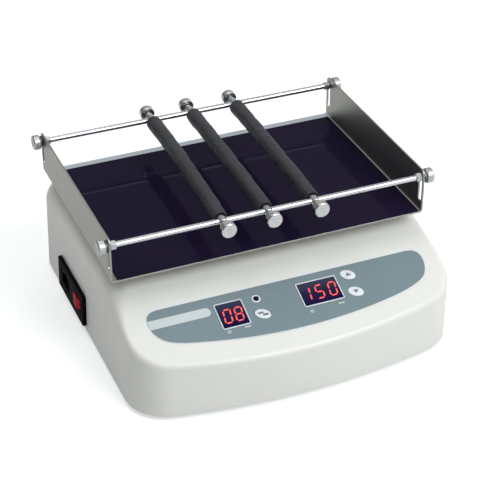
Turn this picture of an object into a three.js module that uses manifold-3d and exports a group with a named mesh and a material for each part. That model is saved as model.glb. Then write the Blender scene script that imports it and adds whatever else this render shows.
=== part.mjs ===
// Compact orbital shaker: a moulded case with a sloping control panel, a bent sheet tray that orbits
// on a driven crank and three idler cranks, and a rod rack with three padded cross bars over the tray.
// Millimetres, +Z up, +X to the operator's right, +Y to the back. Origin: on the bench, centred under
// the whole object at rest. The case sits CASE_SHIFT_X to the right of it, because the orbit's rest
// point is to the left.
import * as THREE from "three";
import { mergeVertices } from "three/addons/utils/BufferGeometryUtils.js";
import { ConvexGeometry } from "three/addons/geometries/ConvexGeometry.js";
import Module from "manifold-3d";

const wasm = await Module();
wasm.setup();

// ---------------------------------------------------------------- driving dimensions
const radians = (degrees) => (degrees * Math.PI) / 180;

const CASE_SHIFT_X = 2;
const CASE_HALF_W = 176;
const CASE_BACK_Y = 174;
const CASE_FRONT_Y = -173.9; // the front bow's crown
const FRONT_BOW = 0.00076; // y = CASE_FRONT_Y + FRONT_BOW * x^2
const FRONT_CORNER_R = 45;
const BACK_CORNER_R = 30;
const CASE_EDGE_Z = 5; // the shell's lower edge above the bench
const CASE_TOP_Z = 110;
const WALL = 3;
const DRAFT_LEFT = radians(2); // inward lean of the walls
const DRAFT_RIGHT = radians(0.3);
const DRAFT_BACK = radians(1.2);
const TOP_EDGE_R = { left: 27, right: 16 }; // rounding of the top edges
const CREASE = radians(12); // the left rounding starts at a faint crease
const PANEL_EDGE_R = 7; // rounding between front wall and control panel
const SLOPE = radians(21); // the control panel's slope
const SLOPE_Y = -168; // panel datum line
const SLOPE_Z = 62;
const RIDGE_R = 60; // blend between panel and flat top
const RIDGE_Y = SLOPE_Y + (CASE_TOP_Z - SLOPE_Z) / Math.tan(SLOPE);
const RIDGE_TANGENT = RIDGE_R * Math.tan(SLOPE / 2);

const SHAFT = [0, 29.25]; // main crank axis
const ORBIT = [-2, 7.75]; // crank throw at rest; its length is the orbit's radius
const IDLERS = { left: [-125, -5], right: [125, -5], back: [-20, 130] };
const MOTOR = [88, 100];

const TRAY_Z = 120; // tray underside
const TRAY_HALF_W = 170;
const TRAY_D = 233;
const TRAY_T = 1.8;
const END_PLATE_H = 49.2;
const BEND_R = 2; // inside bend radius
const BEND_OUTER_R = BEND_R + TRAY_T;

const ROD_R = 3;
const ROD_Y = 111; // rods in front of and behind the tray's centre
const ROD_Z = 40.2; // rod and cross bar axis above the tray underside

const FOOT_H = 8;
const BASE_T = 2;
const TOUCH = 0.03; // gap left between pieces that rest on each other
const SLIP = 0.3; // gap between pieces in the sloping panel
const FLOOR = FOOT_H + BASE_T + TOUCH; // underside of the pieces that stand on the base plate

// ---------------------------------------------------------------- finishes
const FINISH = {
  shellWhite: { color: 0xe9ebe6, roughness: 0.45, metalness: 0 },
  sheetSteel: { color: 0xc4c6c2, roughness: 0.28, metalness: 1 },
  chrome: { color: 0xe2e4e6, roughness: 0.12, metalness: 1 },
  satinMetal: { color: 0xd4d6d6, roughness: 0.35, metalness: 1 },
  glossBlack: { color: 0x201c30, roughness: 0.08, metalness: 0 },
  foam: { color: 0x33363c, roughness: 0.9, metalness: 0 },
  blackPlastic: { color: 0x14141c, roughness: 0.4, metalness: 0 },
  overlayGrey: { color: 0x80929a, roughness: 0.5, metalness: 0 },
  windowDark: { color: 0x1a1826, roughness: 0.12, metalness: 0 },
  keyWhite: { color: 0xe4e8ea, roughness: 0.45, metalness: 0 },
  red: { color: 0xb01e1c, roughness: 0.35, metalness: 0 },
  rubber: { color: 0x202224, roughness: 0.85, metalness: 0 },
  steelGrey: { color: 0x8e9296, roughness: 0.4, metalness: 1 },
  aluminium: { color: 0xb8bcc0, roughness: 0.4, metalness: 1 },
  board: { color: 0x1f5a38, roughness: 0.5, metalness: 0 },
  lampWhite: { color: 0xf2f2f4, roughness: 0.3, metalness: 0 },
  beltBlack: { color: 0x1c1c1e, roughness: 0.8, metalness: 0 },
};

// ---------------------------------------------------------------- frames
const shifted = (x, y, z) => new THREE.Matrix4().makeTranslation(x, y, z);
const aboutX = (angle) => new THREE.Matrix4().makeRotationX(angle);
const aboutY = (angle) => new THREE.Matrix4().makeRotationY(angle);
const aboutZ = (angle) => new THREE.Matrix4().makeRotationZ(angle);
const product = (...matrices) => matrices.reduce((a, b) => a.clone().multiply(b));
const basis = (...axes) =>
  new THREE.Matrix4().makeBasis(...axes.map((axis) => new THREE.Vector3(...axis)));

// Extrusions along X (outline in y, z) and along Y (outline in x, z).
const ALONG_X = basis([0, 1, 0], [0, 0, 1], [1, 0, 0]);
const ALONG_Y = basis([1, 0, 0], [0, 0, 1], [0, 1, 0]);
// Turned bodies: where their +Z axis ends up.
const TO_X = aboutY(Math.PI / 2);
const TO_MINUS_X = aboutY(-Math.PI / 2);
const TO_Y = aboutX(-Math.PI / 2);
const TO_MINUS_Y = aboutX(Math.PI / 2);

// ---------------------------------------------------------------- solids
// A geometry as a closed solid; faces are turned outwards when a mirroring frame has turned them in.
function solid(geometry, frame) {
  const plain = new THREE.BufferGeometry();
  plain.setAttribute("position", geometry.getAttribute("position"));
  plain.setIndex(geometry.index);
  if (frame) plain.applyMatrix4(frame);
  const merged = mergeVertices(plain, 1e-4);
  const corners = merged.index.array;
  const build = (flip) => {
    const triangles = [];
    for (let i = 0; i < corners.length; i += 3) {
      const [a, b, c] = [corners[i], corners[i + 1], corners[i + 2]];
      if (a === b || b === c || c === a) continue;
      triangles.push(...(flip ? [a, c, b] : [a, b, c]));
    }
    return new wasm.Manifold(
      new wasm.Mesh({
        numProp: 3,
        vertProperties: new Float32Array(merged.attributes.position.array),
        triVerts: new Uint32Array(triangles),
      }),
    );
  };
  const body = build(false);
  return body.volume() < 0 ? build(true) : body;
}

const join = (...bodies) => bodies.reduce((a, b) => a.add(b));
const cut = (body, ...tools) => tools.reduce((a, b) => a.subtract(b), body);

// A prism of a flat shape between two heights, then moved into a frame.
function extrude(shape, low, high, { frame, curveSegments = 4 } = {}) {
  const options = { depth: high - low, bevelEnabled: false, curveSegments };
  return solid(new THREE.ExtrudeGeometry(shape, options).translate(0, 0, low), frame);
}

// A body turned about +Z from (radius, height) pairs. A profile that starts off the axis is a ring
// and is closed by repeating its first point.
function turn(profile, segments, frame) {
  const isRing = profile[0][0] > 0;
  const points = (isRing ? [...profile, profile[0]] : profile).map((p) => new THREE.Vector2(...p));
  return solid(new THREE.LatheGeometry(points, segments).rotateX(Math.PI / 2), frame);
}
const ring = (inner, outer, low, high, segments) =>
  turn([[inner, low], [outer, low], [outer, high], [inner, high]], segments);
// A whole profile from its upper half.
const mirrored = (half) => [...half.map(([r, z]) => [r, -z]).reverse(), ...half];

// ---------------------------------------------------------------- flat shapes
const polygon = (points) => new THREE.Shape(points.map((p) => new THREE.Vector2(...p)));

function roundedRect(width, height, radius, [x, y] = [0, 0]) {
  const shape = new THREE.Shape();
  const [left, right] = [x - width / 2, x + width / 2];
  const [bottom, top] = [y - height / 2, y + height / 2];
  shape.moveTo(left + radius, bottom);
  shape.lineTo(right - radius, bottom);
  shape.absarc(right - radius, bottom + radius, radius, -Math.PI / 2, 0);
  shape.lineTo(right, top - radius);
  shape.absarc(right - radius, top - radius, radius, 0, Math.PI / 2);
  shape.lineTo(left + radius, top);
  shape.absarc(left + radius, top - radius, radius, Math.PI / 2, Math.PI);
  shape.lineTo(left, bottom + radius);
  shape.absarc(left + radius, bottom + radius, radius, Math.PI, 1.5 * Math.PI);
  return shape;
}

function ellipse(radiusX, radiusY, segments, [x, y] = [0, 0], angle = 0) {
  const points = Array.from({ length: segments }, (_, i) => {
    const along = radiusX * Math.cos((2 * Math.PI * i) / segments);
    const across = radiusY * Math.sin((2 * Math.PI * i) / segments);
    return [
      x + along * Math.cos(angle) - across * Math.sin(angle),
      y + along * Math.sin(angle) + across * Math.cos(angle),
    ];
  });
  return polygon(points);
}
const disc = (radius, segments, centre) => ellipse(radius, radius, segments, centre);

// An anticlockwise convex outline moved outwards, corner by corner.
const grown = (points, distance) => points.map(([x, y], i) => {
  const [beforeX, beforeY] = points[(i + points.length - 1) % points.length];
  const [afterX, afterY] = points[(i + 1) % points.length];
  const length = Math.hypot(afterX - beforeX, afterY - beforeY);
  return [
    x + (distance * (afterY - beforeY)) / length,
    y - (distance * (afterX - beforeX)) / length,
  ];
});

// ---------------------------------------------------------------- groups and meshes
function addGroup(parent, x, y, z) {
  const group = new THREE.Group();
  group.position.set(x, y, z);
  parent.add(group);
  return group;
}

function geometryOf(body) {
  const mesh = body.getMesh();
  const geometry = new THREE.BufferGeometry();
  geometry.setAttribute("position", new THREE.BufferAttribute(mesh.vertProperties, 3));
  geometry.setIndex(new THREE.BufferAttribute(mesh.triVerts, 1));
  const faceted = geometry.toNonIndexed();
  faceted.computeVertexNormals();
  return faceted;
}

function addPiece(group, name, body, finish, [x = 0, y = 0, z = 0] = []) {
  const mesh = new THREE.Mesh(geometryOf(body), new THREE.MeshStandardMaterial(finish));
  mesh.name = name;
  mesh.position.set(x, y, z);
  group.add(mesh);
  return mesh;
}

// ---------------------------------------------------------------- the case's shape
// Height and upward slope of the top surface at y: panel, blend, flat top; `drop` lowers it.
function topAt(y, drop) {
  const blendBack = RIDGE_Y + RIDGE_TANGENT;
  if (y >= blendBack) return { z: CASE_TOP_Z - drop, slope: 0 };
  const blendFront = RIDGE_Y - RIDGE_TANGENT * Math.cos(SLOPE);
  if (y <= blendFront) {
    return { z: SLOPE_Z + (y - SLOPE_Y) * Math.tan(SLOPE) - drop, slope: Math.tan(SLOPE) };
  }
  const run = blendBack - y;
  const rise = Math.sqrt(RIDGE_R * RIDGE_R - run * run);
  return { z: CASE_TOP_Z - RIDGE_R + rise - drop, slope: run / rise };
}

// Footprint points with outward normals, anticlockwise, moved inwards by `inset`.
// `sideStations` adds points along the straight sides.
const BOW_STEPS = 12;
const SIDE_STATIONS_Y = [-96, -80, -66, -54, -46, -38, -31];
function footprint(inset, sideStations = true) {
  const points = [];
  const put = (x, y, nx, ny) => points.push({ x: x - nx * inset, y: y - ny * inset, nx, ny });
  const arc = (centreX, centreY, radius, from, to, steps, first = 0) => {
    for (let i = first; i <= steps; i++) {
      const angle = from + ((to - from) * i) / steps;
      const [nx, ny] = [Math.cos(angle), Math.sin(angle)];
      put(centreX + radius * nx, centreY + radius * ny, nx, ny);
    }
  };

  // The angle at which the front corner's arc runs on smoothly into the bow.
  const frontX = CASE_HALF_W - FRONT_CORNER_R;
  let meet = 0.2;
  for (let i = 0; i < 20; i++) {
    meet = Math.atan(2 * FRONT_BOW * (frontX + FRONT_CORNER_R * Math.sin(meet)));
  }
  const bowEndX = frontX + FRONT_CORNER_R * Math.sin(meet);
  const frontY = CASE_FRONT_Y + FRONT_BOW * bowEndX * bowEndX + FRONT_CORNER_R * Math.cos(meet);
  for (let i = 0; i <= BOW_STEPS; i++) {
    const x = -bowEndX + (2 * bowEndX * i) / BOW_STEPS;
    const tilt = Math.atan(2 * FRONT_BOW * x);
    put(x, CASE_FRONT_Y + FRONT_BOW * x * x, Math.sin(tilt), -Math.cos(tilt));
  }

  const sides = sideStations ? SIDE_STATIONS_Y : [];
  const backX = CASE_HALF_W - BACK_CORNER_R;
  const backY = CASE_BACK_Y - BACK_CORNER_R;
  arc(frontX, frontY, FRONT_CORNER_R, meet - Math.PI / 2, 0, 6, 1);
  for (const y of sides) put(CASE_HALF_W, y, 1, 0);
  arc(backX, backY, BACK_CORNER_R, 0, Math.PI / 2, 4);
  arc(-backX, backY, BACK_CORNER_R, Math.PI / 2, Math.PI, 4);
  for (const y of [...sides].reverse()) put(-CASE_HALF_W, y, -1, 0);
  arc(-frontX, frontY, FRONT_CORNER_R, Math.PI, 1.5 * Math.PI - meet, 6);
  points.pop(); // the last point repeats the first
  return points;
}

// Rounding, inward lean and crease angle of the top edge at a footprint point.
function topEdge({ y, nx, ny }) {
  const { smoothstep } = THREE.MathUtils;
  const front = Math.max(smoothstep(-ny, 0.25, 0.95), 1 - smoothstep(y, -110, -25));
  const { left, right } = TOP_EDGE_R;
  const sideRadius = (left + right) / 2 - ((left - right) / 2) * nx;
  const sideLean = Math.tan(nx < 0 ? DRAFT_LEFT : DRAFT_RIGHT) * nx ** 2;
  const backLean = ny > 0 ? Math.tan(DRAFT_BACK) * ny ** 2 : 0;
  return {
    radius: sideRadius + (PANEL_EDGE_R - sideRadius) * front,
    lean: sideLean + backLean,
    crease: CREASE * Math.max(0, -nx) * (1 - front),
  };
}

// The case as a convex body whose top edge is rounded by a ball rolled round the footprint.
function caseBody({ inset, drop, bottomZ, radiusLoss, roundSteps }) {
  const points = [];
  for (const station of footprint(inset)) {
    const { x, y, nx, ny } = station;
    const { radius: fullRadius, lean, crease } = topEdge(station);
    const radius = Math.max(1.5, fullRadius - radiusLoss);
    const wallNormal = new THREE.Vector3(nx, ny, 0);
    const centre = new THREE.Vector3(0, 0, 80);
    let topNormal;
    // Settle the ball's centre so that it touches both the wall and the top surface.
    for (let i = 0; i < 6; i++) {
      const wallRise = centre.z + radius * Math.sin(crease) - CASE_EDGE_Z;
      const back = radius * Math.cos(crease) + lean * wallRise;
      centre.x = x - nx * back;
      centre.y = y - ny * back;
      const top = topAt(centre.y, drop);
      topNormal = new THREE.Vector3(0, -top.slope, 1).normalize();
      centre.z = top.z - radius / topNormal.z;
    }
    const sweep = wallNormal.angleTo(topNormal);
    const axis = wallNormal.clone().cross(topNormal).normalize();
    for (let i = 0; i <= roundSteps; i++) {
      const angle = crease + ((sweep - crease) * i) / roundSteps;
      const spoke = wallNormal.clone().applyAxisAngle(axis, angle).multiplyScalar(radius);
      points.push(spoke.add(centre));
    }
    const flare = lean * (CASE_EDGE_Z - bottomZ);
    points.push(new THREE.Vector3(x + nx * flare, y + ny * flare, bottomZ));
  }
  return solid(new ConvexGeometry(points));
}

// ---------------------------------------------------------------- control panel layout
// The sloping panel's own frame: x across, y up the slope, z out of the panel.
const PANEL_FRAME = product(shifted(0, SLOPE_Y, SLOPE_Z), aboutX(SLOPE));

// The overlay's front edge follows the front bow: y = crownY + bow * (x - crownX)^2.
const OVERLAY_FRONT = { fromX: -108, toX: 114, steps: 14, crownX: 5, crownY: 17.2, bow: 0.00094 };
// The rest of the overlay's outline, anticlockwise (x, y): right end, then left end.
const OVERLAY_ENDS = [
  [126, 31.6], [137.75, 36], [144.6, 40], [148.4, 44], [151, 48], [152.8, 52],
  [154.4, 58], [154.75, 64], [154.25, 68], [152, 72.4], [147.4, 75.6], [141, 76.5],
  [-134, 76.5], [-140, 75.6], [-144.6, 72.4], [-146.9, 68], [-147.5, 62], [-147.2, 57],
  [-146.1, 52], [-144.25, 48], [-141.75, 44], [-138, 40], [-132, 36], [-121.75, 32.2],
];
const DISPLAYS = {
  display_time: { width: 29.9, height: 30.6, centre: [-62.5, 51] }, // two digits
  display_speed: { width: 44.1, height: 29.3, centre: [33.45, 53] }, // three digits
};
const KEYS = { key_set: [-32.8, 43.05], key_up: [69.2, 64.2], key_down: [69.1, 42.7] };
const KEY = { radiusX: 8.2, radiusY: 5.6, angle: -0.44 };
const LAMP = [-32.8, 62.1];
const LAMP_R = 4.7;

function overlayOutline() {
  const { fromX, toX, steps, crownX, crownY, bow } = OVERLAY_FRONT;
  const front = Array.from({ length: steps + 1 }, (_, i) => {
    const x = fromX + ((toX - fromX) * i) / steps;
    return [x, crownY + bow * (x - crownX) ** 2];
  });
  return [...front, ...OVERLAY_ENDS];
}
const displayShape = ({ width, height, centre }, grow) =>
  roundedRect(width + 2 * grow, height + 2 * grow, 1.2, centre);
const keyShape = (grow, centre) =>
  ellipse(KEY.radiusX + grow, KEY.radiusY + grow, 20, centre, KEY.angle);

// Cutting tools for the displays, keys and lamp, each SLIP larger than its piece.
function panelOpenings(low, high, frame) {
  const shapes = [
    ...Object.values(DISPLAYS).map((display) => displayShape(display, SLIP)),
    ...Object.values(KEYS).map((centre) => keyShape(SLIP, centre)),
    disc(LAMP_R + SLIP, 18, LAMP),
  ];
  return shapes.map((shape) => extrude(shape, low, high, { frame }));
}

// ---------------------------------------------------------------- power inlet layout
// On the left wall: centres and sizes in y and z, before the inlet leans with the wall.
const INLET = { width: 88, height: 37, proud: 4, centre: [51.9, 29.5] };
const ROCKER = { width: 26.6, height: 15, centre: [27.4, 31], pivotX: -176.4, tilt: radians(9) };
const SOCKET = { width: 27.6, height: 20.4, centre: [70.4, 29.5] };
const SOCKET_BACK_X = -154; // bottom of the socket's pocket
const INLET_FACE_X = -CASE_HALF_W - INLET.proud - TOUCH;
const LEANING_FRAME = product(
  shifted(-CASE_HALF_W, 0, CASE_EDGE_Z),
  aboutY(DRAFT_LEFT),
  shifted(CASE_HALF_W, 0, -CASE_EDGE_Z),
);

// ---------------------------------------------------------------- case shell, base plate, feet
function caseShell() {
  const outside = { inset: 0, drop: 0, bottomZ: CASE_EDGE_Z, radiusLoss: 0, roundSteps: 4 };
  const inside = {
    inset: WALL, drop: WALL, bottomZ: -10, radiusLoss: WALL - 0.5, roundSteps: 1,
  };
  const inletHole = roundedRect(INLET.width - 6, INLET.height - 6, 2, INLET.centre);
  const holes = [
    extrude(disc(32, 20, SHAFT), 95, 125),
    ...Object.values(IDLERS).map((place) => extrude(disc(22, 14, place), 95, 125)),
    extrude(polygon(grown(overlayOutline(), SLIP)), -0.8, 6, { frame: PANEL_FRAME }),
    ...panelOpenings(-8, 6, PANEL_FRAME),
    extrude(inletHole, -190, -165, { frame: product(LEANING_FRAME, ALONG_X) }),
  ];
  return cut(caseBody(outside), caseBody(inside), ...holes);
}

const BASE_GAP = 0.6; // between the base plate and the shell's wall
const BASE_SLOTS = { count: 5, pitch: 16, firstX: -32, y: -95, width: 6, length: 44, radius: 2.9 };
function basePlate() {
  const outline = polygon(footprint(WALL + BASE_GAP, false).map(({ x, y }) => [x, y]));
  const { count, pitch, firstX, y, width, length, radius } = BASE_SLOTS;
  for (let i = 0; i < count; i++) {
    outline.holes.push(roundedRect(width, length, radius, [firstX + pitch * i, y]));
  }
  return extrude(outline, FOOT_H, FOOT_H + BASE_T, { curveSegments: 2 });
}

const FEET = {
  front_left: [-128, -118],
  front_right: [128, -118],
  back_left: [-138, 136],
  back_right: [138, 136],
};
const FOOT_TOP = FOOT_H - TOUCH;
// (radius, height): open in the middle, with a wider recess below
const FOOT_PROFILE = [[4, 3], [4, 0], [10, 0], [11, 1], [12, FOOT_TOP], [2.5, FOOT_TOP], [2.5, 3]];

function addCase(root) {
  addPiece(root, "case_shell", caseShell(), FINISH.shellWhite);
  addPiece(root, "base_plate", basePlate(), FINISH.steelGrey);
  for (const [place, position] of Object.entries(FEET)) {
    addPiece(root, `foot_${place}`, turn(FOOT_PROFILE, 14), FINISH.rubber, position);
  }
}

// ---------------------------------------------------------------- control panel pieces
// Key: cap, retaining flange and stem.
const keyBody = () => join(
  extrude(keyShape(0), -3.7, 0.9),
  extrude(keyShape(1.3), -4.8, -3.6),
  extrude(disc(2, 12), -7.1, -4.7),
);

// (radius, height)
const BEZEL_PROFILE = [
  [3.1, -3.4], [LAMP_R, -3.4], [LAMP_R, 0.4], [4.3, 0.8], [3.1, 0.8],
];
const LENS_PROFILE = [[0, -7], [2.75, -7], [2.75, 0.3], [2, 0.9], [0, 1.1]];

function addPanelPieces(panel) {
  const overlay = cut(extrude(polygon(overlayOutline()), -0.5, 0.2), ...panelOpenings(-3, 3));
  addPiece(panel, "panel_overlay", overlay, FINISH.overlayGrey);
  for (const [name, display] of Object.entries(DISPLAYS)) {
    addPiece(panel, name, extrude(displayShape(display, 0), -8, 0.7), FINISH.windowDark);
  }
  for (const [name, centre] of Object.entries(KEYS)) {
    addPiece(panel, name, keyBody(), FINISH.keyWhite, centre);
  }
  addPiece(panel, "lamp_bezel", turn(BEZEL_PROFILE, 18), FINISH.lampWhite, LAMP);
  addPiece(panel, "lamp_lens", turn(LENS_PROFILE, 14), FINISH.windowDark, LAMP);
  const board = extrude(roundedRect(170, 56, 3, [0, 52]), -9.9, -8.3);
  addPiece(panel, "control_board", board, FINISH.board);
}

// ---------------------------------------------------------------- power inlet, rocker, supply
const alongX = (shape, fromX, toX, curveSegments) =>
  extrude(shape, fromX, toX, { frame: ALONG_X, curveSegments });

// Inlet plate: a stepped face and a box into the case, with pockets for rocker and socket.
function inletPlate() {
  const { width, height, centre } = INLET;
  const faceX = INLET_FACE_X;
  const wallX = -CASE_HALF_W - TOUCH;
  const rockerPocket = roundedRect(ROCKER.width + 1.8, ROCKER.height + 0.7, 1, ROCKER.centre);
  const socketPocket = roundedRect(SOCKET.width + 0.4, SOCKET.height + 0.4, 0.1, SOCKET.centre);
  return cut(
    join(
      alongX(roundedRect(width, height, 2.5, centre), faceX + 0.8, wallX),
      alongX(roundedRect(width - 1.6, height - 1.6, 2, centre), faceX, wallX),
      alongX(roundedRect(80, 29, 2, centre), faceX + 1, -148, 3),
    ),
    alongX(rockerPocket, faceX - 1, -162, 3),
    alongX(socketPocket, faceX - 1, SOCKET_BACK_X, 1),
  );
}

// Appliance socket outline with its two upper corners cut off.
function socketOutline(inset, cutY, cutZ) {
  const halfW = SOCKET.width / 2 - inset;
  const halfH = SOCKET.height / 2 - inset;
  const corners = [
    [-halfW, -halfH], [halfW, -halfH], [halfW, halfH - cutZ],
    [halfW - cutY, halfH], [-halfW + cutY, halfH], [-halfW, halfH - cutZ],
  ];
  const [centreY, centreZ] = SOCKET.centre;
  return polygon(corners.map(([y, z]) => [y + centreY, z + centreZ]));
}

const SOCKET_PINS = [[0, 3.4], [-7, -2.4], [7, -2.4]]; // y, z from the socket's centre
function powerSocket() {
  const [centreY, centreZ] = SOCKET.centre;
  const cup = cut(
    alongX(socketOutline(0, 5, 6), INLET_FACE_X + 0.6, SOCKET_BACK_X - 0.1),
    alongX(socketOutline(2, 4, 5), INLET_FACE_X - 1, -160),
  );
  const pins = SOCKET_PINS.map(([y, z]) =>
    alongX(roundedRect(2, 5, 0.3, [centreY + y, centreZ + z]), -174, -159, 2));
  return join(cup, ...pins);
}

// Rocker: seen from above, two faces that meet at a blunt ridge on the outside.
function rockerBody() {
  const half = ROCKER.width / 2;
  const plan = polygon([
    [5, -half + 1], [-3.2, -half], [-5.6, -1.5], [-5.6, 1.5],
    [-3.2, half], [5, half - 1], [8, 3], [8, -3],
  ]);
  return extrude(plan, -ROCKER.height / 2, ROCKER.height / 2);
}

function addPowerPieces(root) {
  // Outer group leans about the wall's lower edge; the inner one brings back the case's origin.
  const wall = addGroup(root, -CASE_HALF_W, 0, CASE_EDGE_Z);
  wall.rotation.y = DRAFT_LEFT;
  const inlet = addGroup(wall, CASE_HALF_W, 0, -CASE_EDGE_Z);
  addPiece(inlet, "inlet_plate", inletPlate(), FINISH.blackPlastic);
  addPiece(inlet, "power_socket", powerSocket(), FINISH.blackPlastic);
  const pivot = [ROCKER.pivotX, ...ROCKER.centre];
  const rocker = addPiece(inlet, "rocker", rockerBody(), FINISH.red, pivot);
  rocker.rotation.z = ROCKER.tilt; // front end pressed in

  const supplyCentre = [-94, 96];
  const supply = join(
    extrude(roundedRect(84, 54, 2, supplyCentre), FLOOR, FLOOR + 4),
    extrude(roundedRect(76, 50, 2, supplyCentre), FLOOR + 3, FLOOR + 32),
  );
  addPiece(root, "power_supply", supply, FINISH.steelGrey);
}

// ---------------------------------------------------------------- drive
const FLANGE_TOP = FLOOR + 3;
// Motor bracket's section (x from the motor axis, z): an inverted channel on two flanges.
const BRACKET_SECTION = [
  [-43, FLOOR], [-28, FLOOR], [-28, FLANGE_TOP], [-37, FLANGE_TOP], [-37, 71], [37, 71],
  [37, FLANGE_TOP], [28, FLANGE_TOP], [28, FLOOR], [43, FLOOR], [43, FLANGE_TOP],
  [40, FLANGE_TOP], [40, 74], [-40, 74], [-40, FLANGE_TOP], [-43, FLANGE_TOP],
];

// Turned profiles (radius, height above the bench).
const MOTOR_PROFILE = [
  [0, 22], [27, 22], [30, 25], [30, 67], [28, 70.9], [8, 70.9], [8, 72.5],
  [4.14, 72.5], [4.14, 55], [0, 55],
];
const MOTOR_PULLEY_R = 12; // running surfaces under the belt
const MAIN_PULLEY_R = 36;
const MOTOR_PULLEY_PROFILE = [
  [0, 56], [4, 56], [4, 75], [14, 75], [14, 77.3], [MOTOR_PULLEY_R, 77.6],
  [MOTOR_PULLEY_R, 87], [14, 87.3], [14, 89.4], [5, 89.4], [4.5, 91], [0, 91],
];
const MAIN_PULLEY_PROFILE = [
  [6.05, 75], [38, 75], [38, 77.3], [MAIN_PULLEY_R, 77.6], [MAIN_PULLEY_R, 87],
  [38, 87.3], [38, 88.5], [14, 88.5], [14, 89.5], [6.05, 89.5],
];
const HOUSING_PROFILE = [
  [9, FLOOR], [36, FLOOR], [36, 15], [22, 18], [22, 70], [16.1, 70], [16.1, 48], [9, 48],
];
const MAIN_SHAFT_PROFILE = [[0, 20], [6, 20], [6, 98], [20, 98], [20, 106], [0, 106]];
const IDLER_POST_PROFILE = [
  [0, FLOOR], [18, FLOOR], [18, 14], [9, 17], [9, 56], [12, 60], [12, 93],
  [5.12, 93], [5.12, 58], [0, 58],
];
const IDLER_CRANK_PROFILE = [[0, 60], [5, 60], [5, 96], [15, 96], [15, 104], [0, 104]];
const CRANK_PIN_TOP = 118;

function motorBracket() {
  const frame = product(shifted(...MOTOR, 0), ALONG_Y);
  return cut(
    extrude(polygon(BRACKET_SECTION), -34, 34, { frame }),
    extrude(disc(9, 24, MOTOR), 60, 80),
  );
}

// Outline of a loop drawn tight round a circle on the shaft and one on the motor.
function loopShape(shaftRadius, motorRadius) {
  const span = new THREE.Vector2(MOTOR[0] - SHAFT[0], MOTOR[1] - SHAFT[1]);
  const heading = span.angle();
  const spread = Math.acos((shaftRadius - motorRadius) / span.length());
  const [start, end] = [heading + spread, heading - spread];
  const shape = new THREE.Shape();
  shape.absarc(...SHAFT, shaftRadius, start, end + 2 * Math.PI, false);
  shape.absarc(...MOTOR, motorRadius, end, start, false);
  shape.closePath();
  return shape;
}

const BELT_GAP = 0.6; // between the belt and the pulleys' running surfaces
const BELT_T = 1.9;
function beltBody() {
  const loop = (offset, low, high) => {
    const shape = loopShape(MAIN_PULLEY_R + offset, MOTOR_PULLEY_R + offset);
    return extrude(shape, low, high, { curveSegments: 12 });
  };
  return cut(loop(BELT_GAP + BELT_T, 78.4, 86.4), loop(BELT_GAP, 70, 95));
}

// Counterweight: a sector opposite the crank pin, with a hub round the shaft.
function counterweight() {
  const away = Math.atan2(-ORBIT[1], -ORBIT[0]);
  const shape = new THREE.Shape();
  shape.absarc(0, 0, 43, away - 1.15, away + 1.15, false);
  shape.absarc(0, 0, 13, away + 1.75, away - 1.75 + 2 * Math.PI, false);
  shape.closePath();
  return cut(extrude(shape, 90, 97.5, { curveSegments: 8 }), extrude(disc(6.05, 20), 80, 100));
}

function addDrive(root) {
  addPiece(root, "motor_bracket", motorBracket(), FINISH.sheetSteel);
  addPiece(root, "motor", turn(MOTOR_PROFILE, 18), FINISH.steelGrey, MOTOR);
  addPiece(root, "motor_pulley", turn(MOTOR_PULLEY_PROFILE, 18), FINISH.aluminium, MOTOR);
  addPiece(root, "belt", beltBody(), FINISH.beltBlack);
  addPiece(root, "bearing_housing", turn(HOUSING_PROFILE, 20), FINISH.aluminium, SHAFT);
  addPiece(root, "main_bearing", ring(6.09, 16, 48.1, 69.2, 20), FINISH.satinMetal, SHAFT);

  const main = addGroup(root, ...SHAFT, 0);
  const crankPin = extrude(disc(5, 20, ORBIT), 105, CRANK_PIN_TOP);
  addPiece(main, "main_shaft", join(turn(MAIN_SHAFT_PROFILE, 20), crankPin), FINISH.steelGrey);
  addPiece(main, "main_pulley", turn(MAIN_PULLEY_PROFILE, 20), FINISH.aluminium);
  addPiece(main, "counterweight", counterweight(), FINISH.steelGrey);

  for (const [name, place] of Object.entries(IDLERS)) {
    const post = turn(IDLER_POST_PROFILE, 16);
    addPiece(root, `idler_post_${name}`, post, FINISH.aluminium, place);
    const idlerPin = extrude(disc(4, 16, ORBIT), 103, CRANK_PIN_TOP);
    const crank = join(turn(IDLER_CRANK_PROFILE, 16), idlerPin);
    addPiece(root, `idler_crank_${name}`, crank, FINISH.steelGrey, place);
  }
}

// ---------------------------------------------------------------- carrier, bearings, tray, mat
// Carrier: a plate under the tray with a bored hub over every crank pin.
function carrier(idlerPlaces) {
  const joints = [
    { place: [0, 0], hubRadius: 15, boreRadius: 11.06, segments: 20 },
    ...idlerPlaces.map((place) => ({ place, hubRadius: 11.5, boreRadius: 8.06, segments: 16 })),
  ];
  const plateShape = roundedRect(292, 196, 16, [0, 10]);
  const plate = extrude(plateShape, -3.1, -TOUCH, { curveSegments: 5 });
  const hubs = joints.map(({ place, hubRadius, segments }) =>
    extrude(disc(hubRadius, segments, place), -9.5, -2));
  const bores = joints.map(({ place, boreRadius, segments }) =>
    extrude(disc(boreRadius, segments, place), -12, 2));
  return cut(join(plate, ...hubs), ...bores);
}

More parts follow.
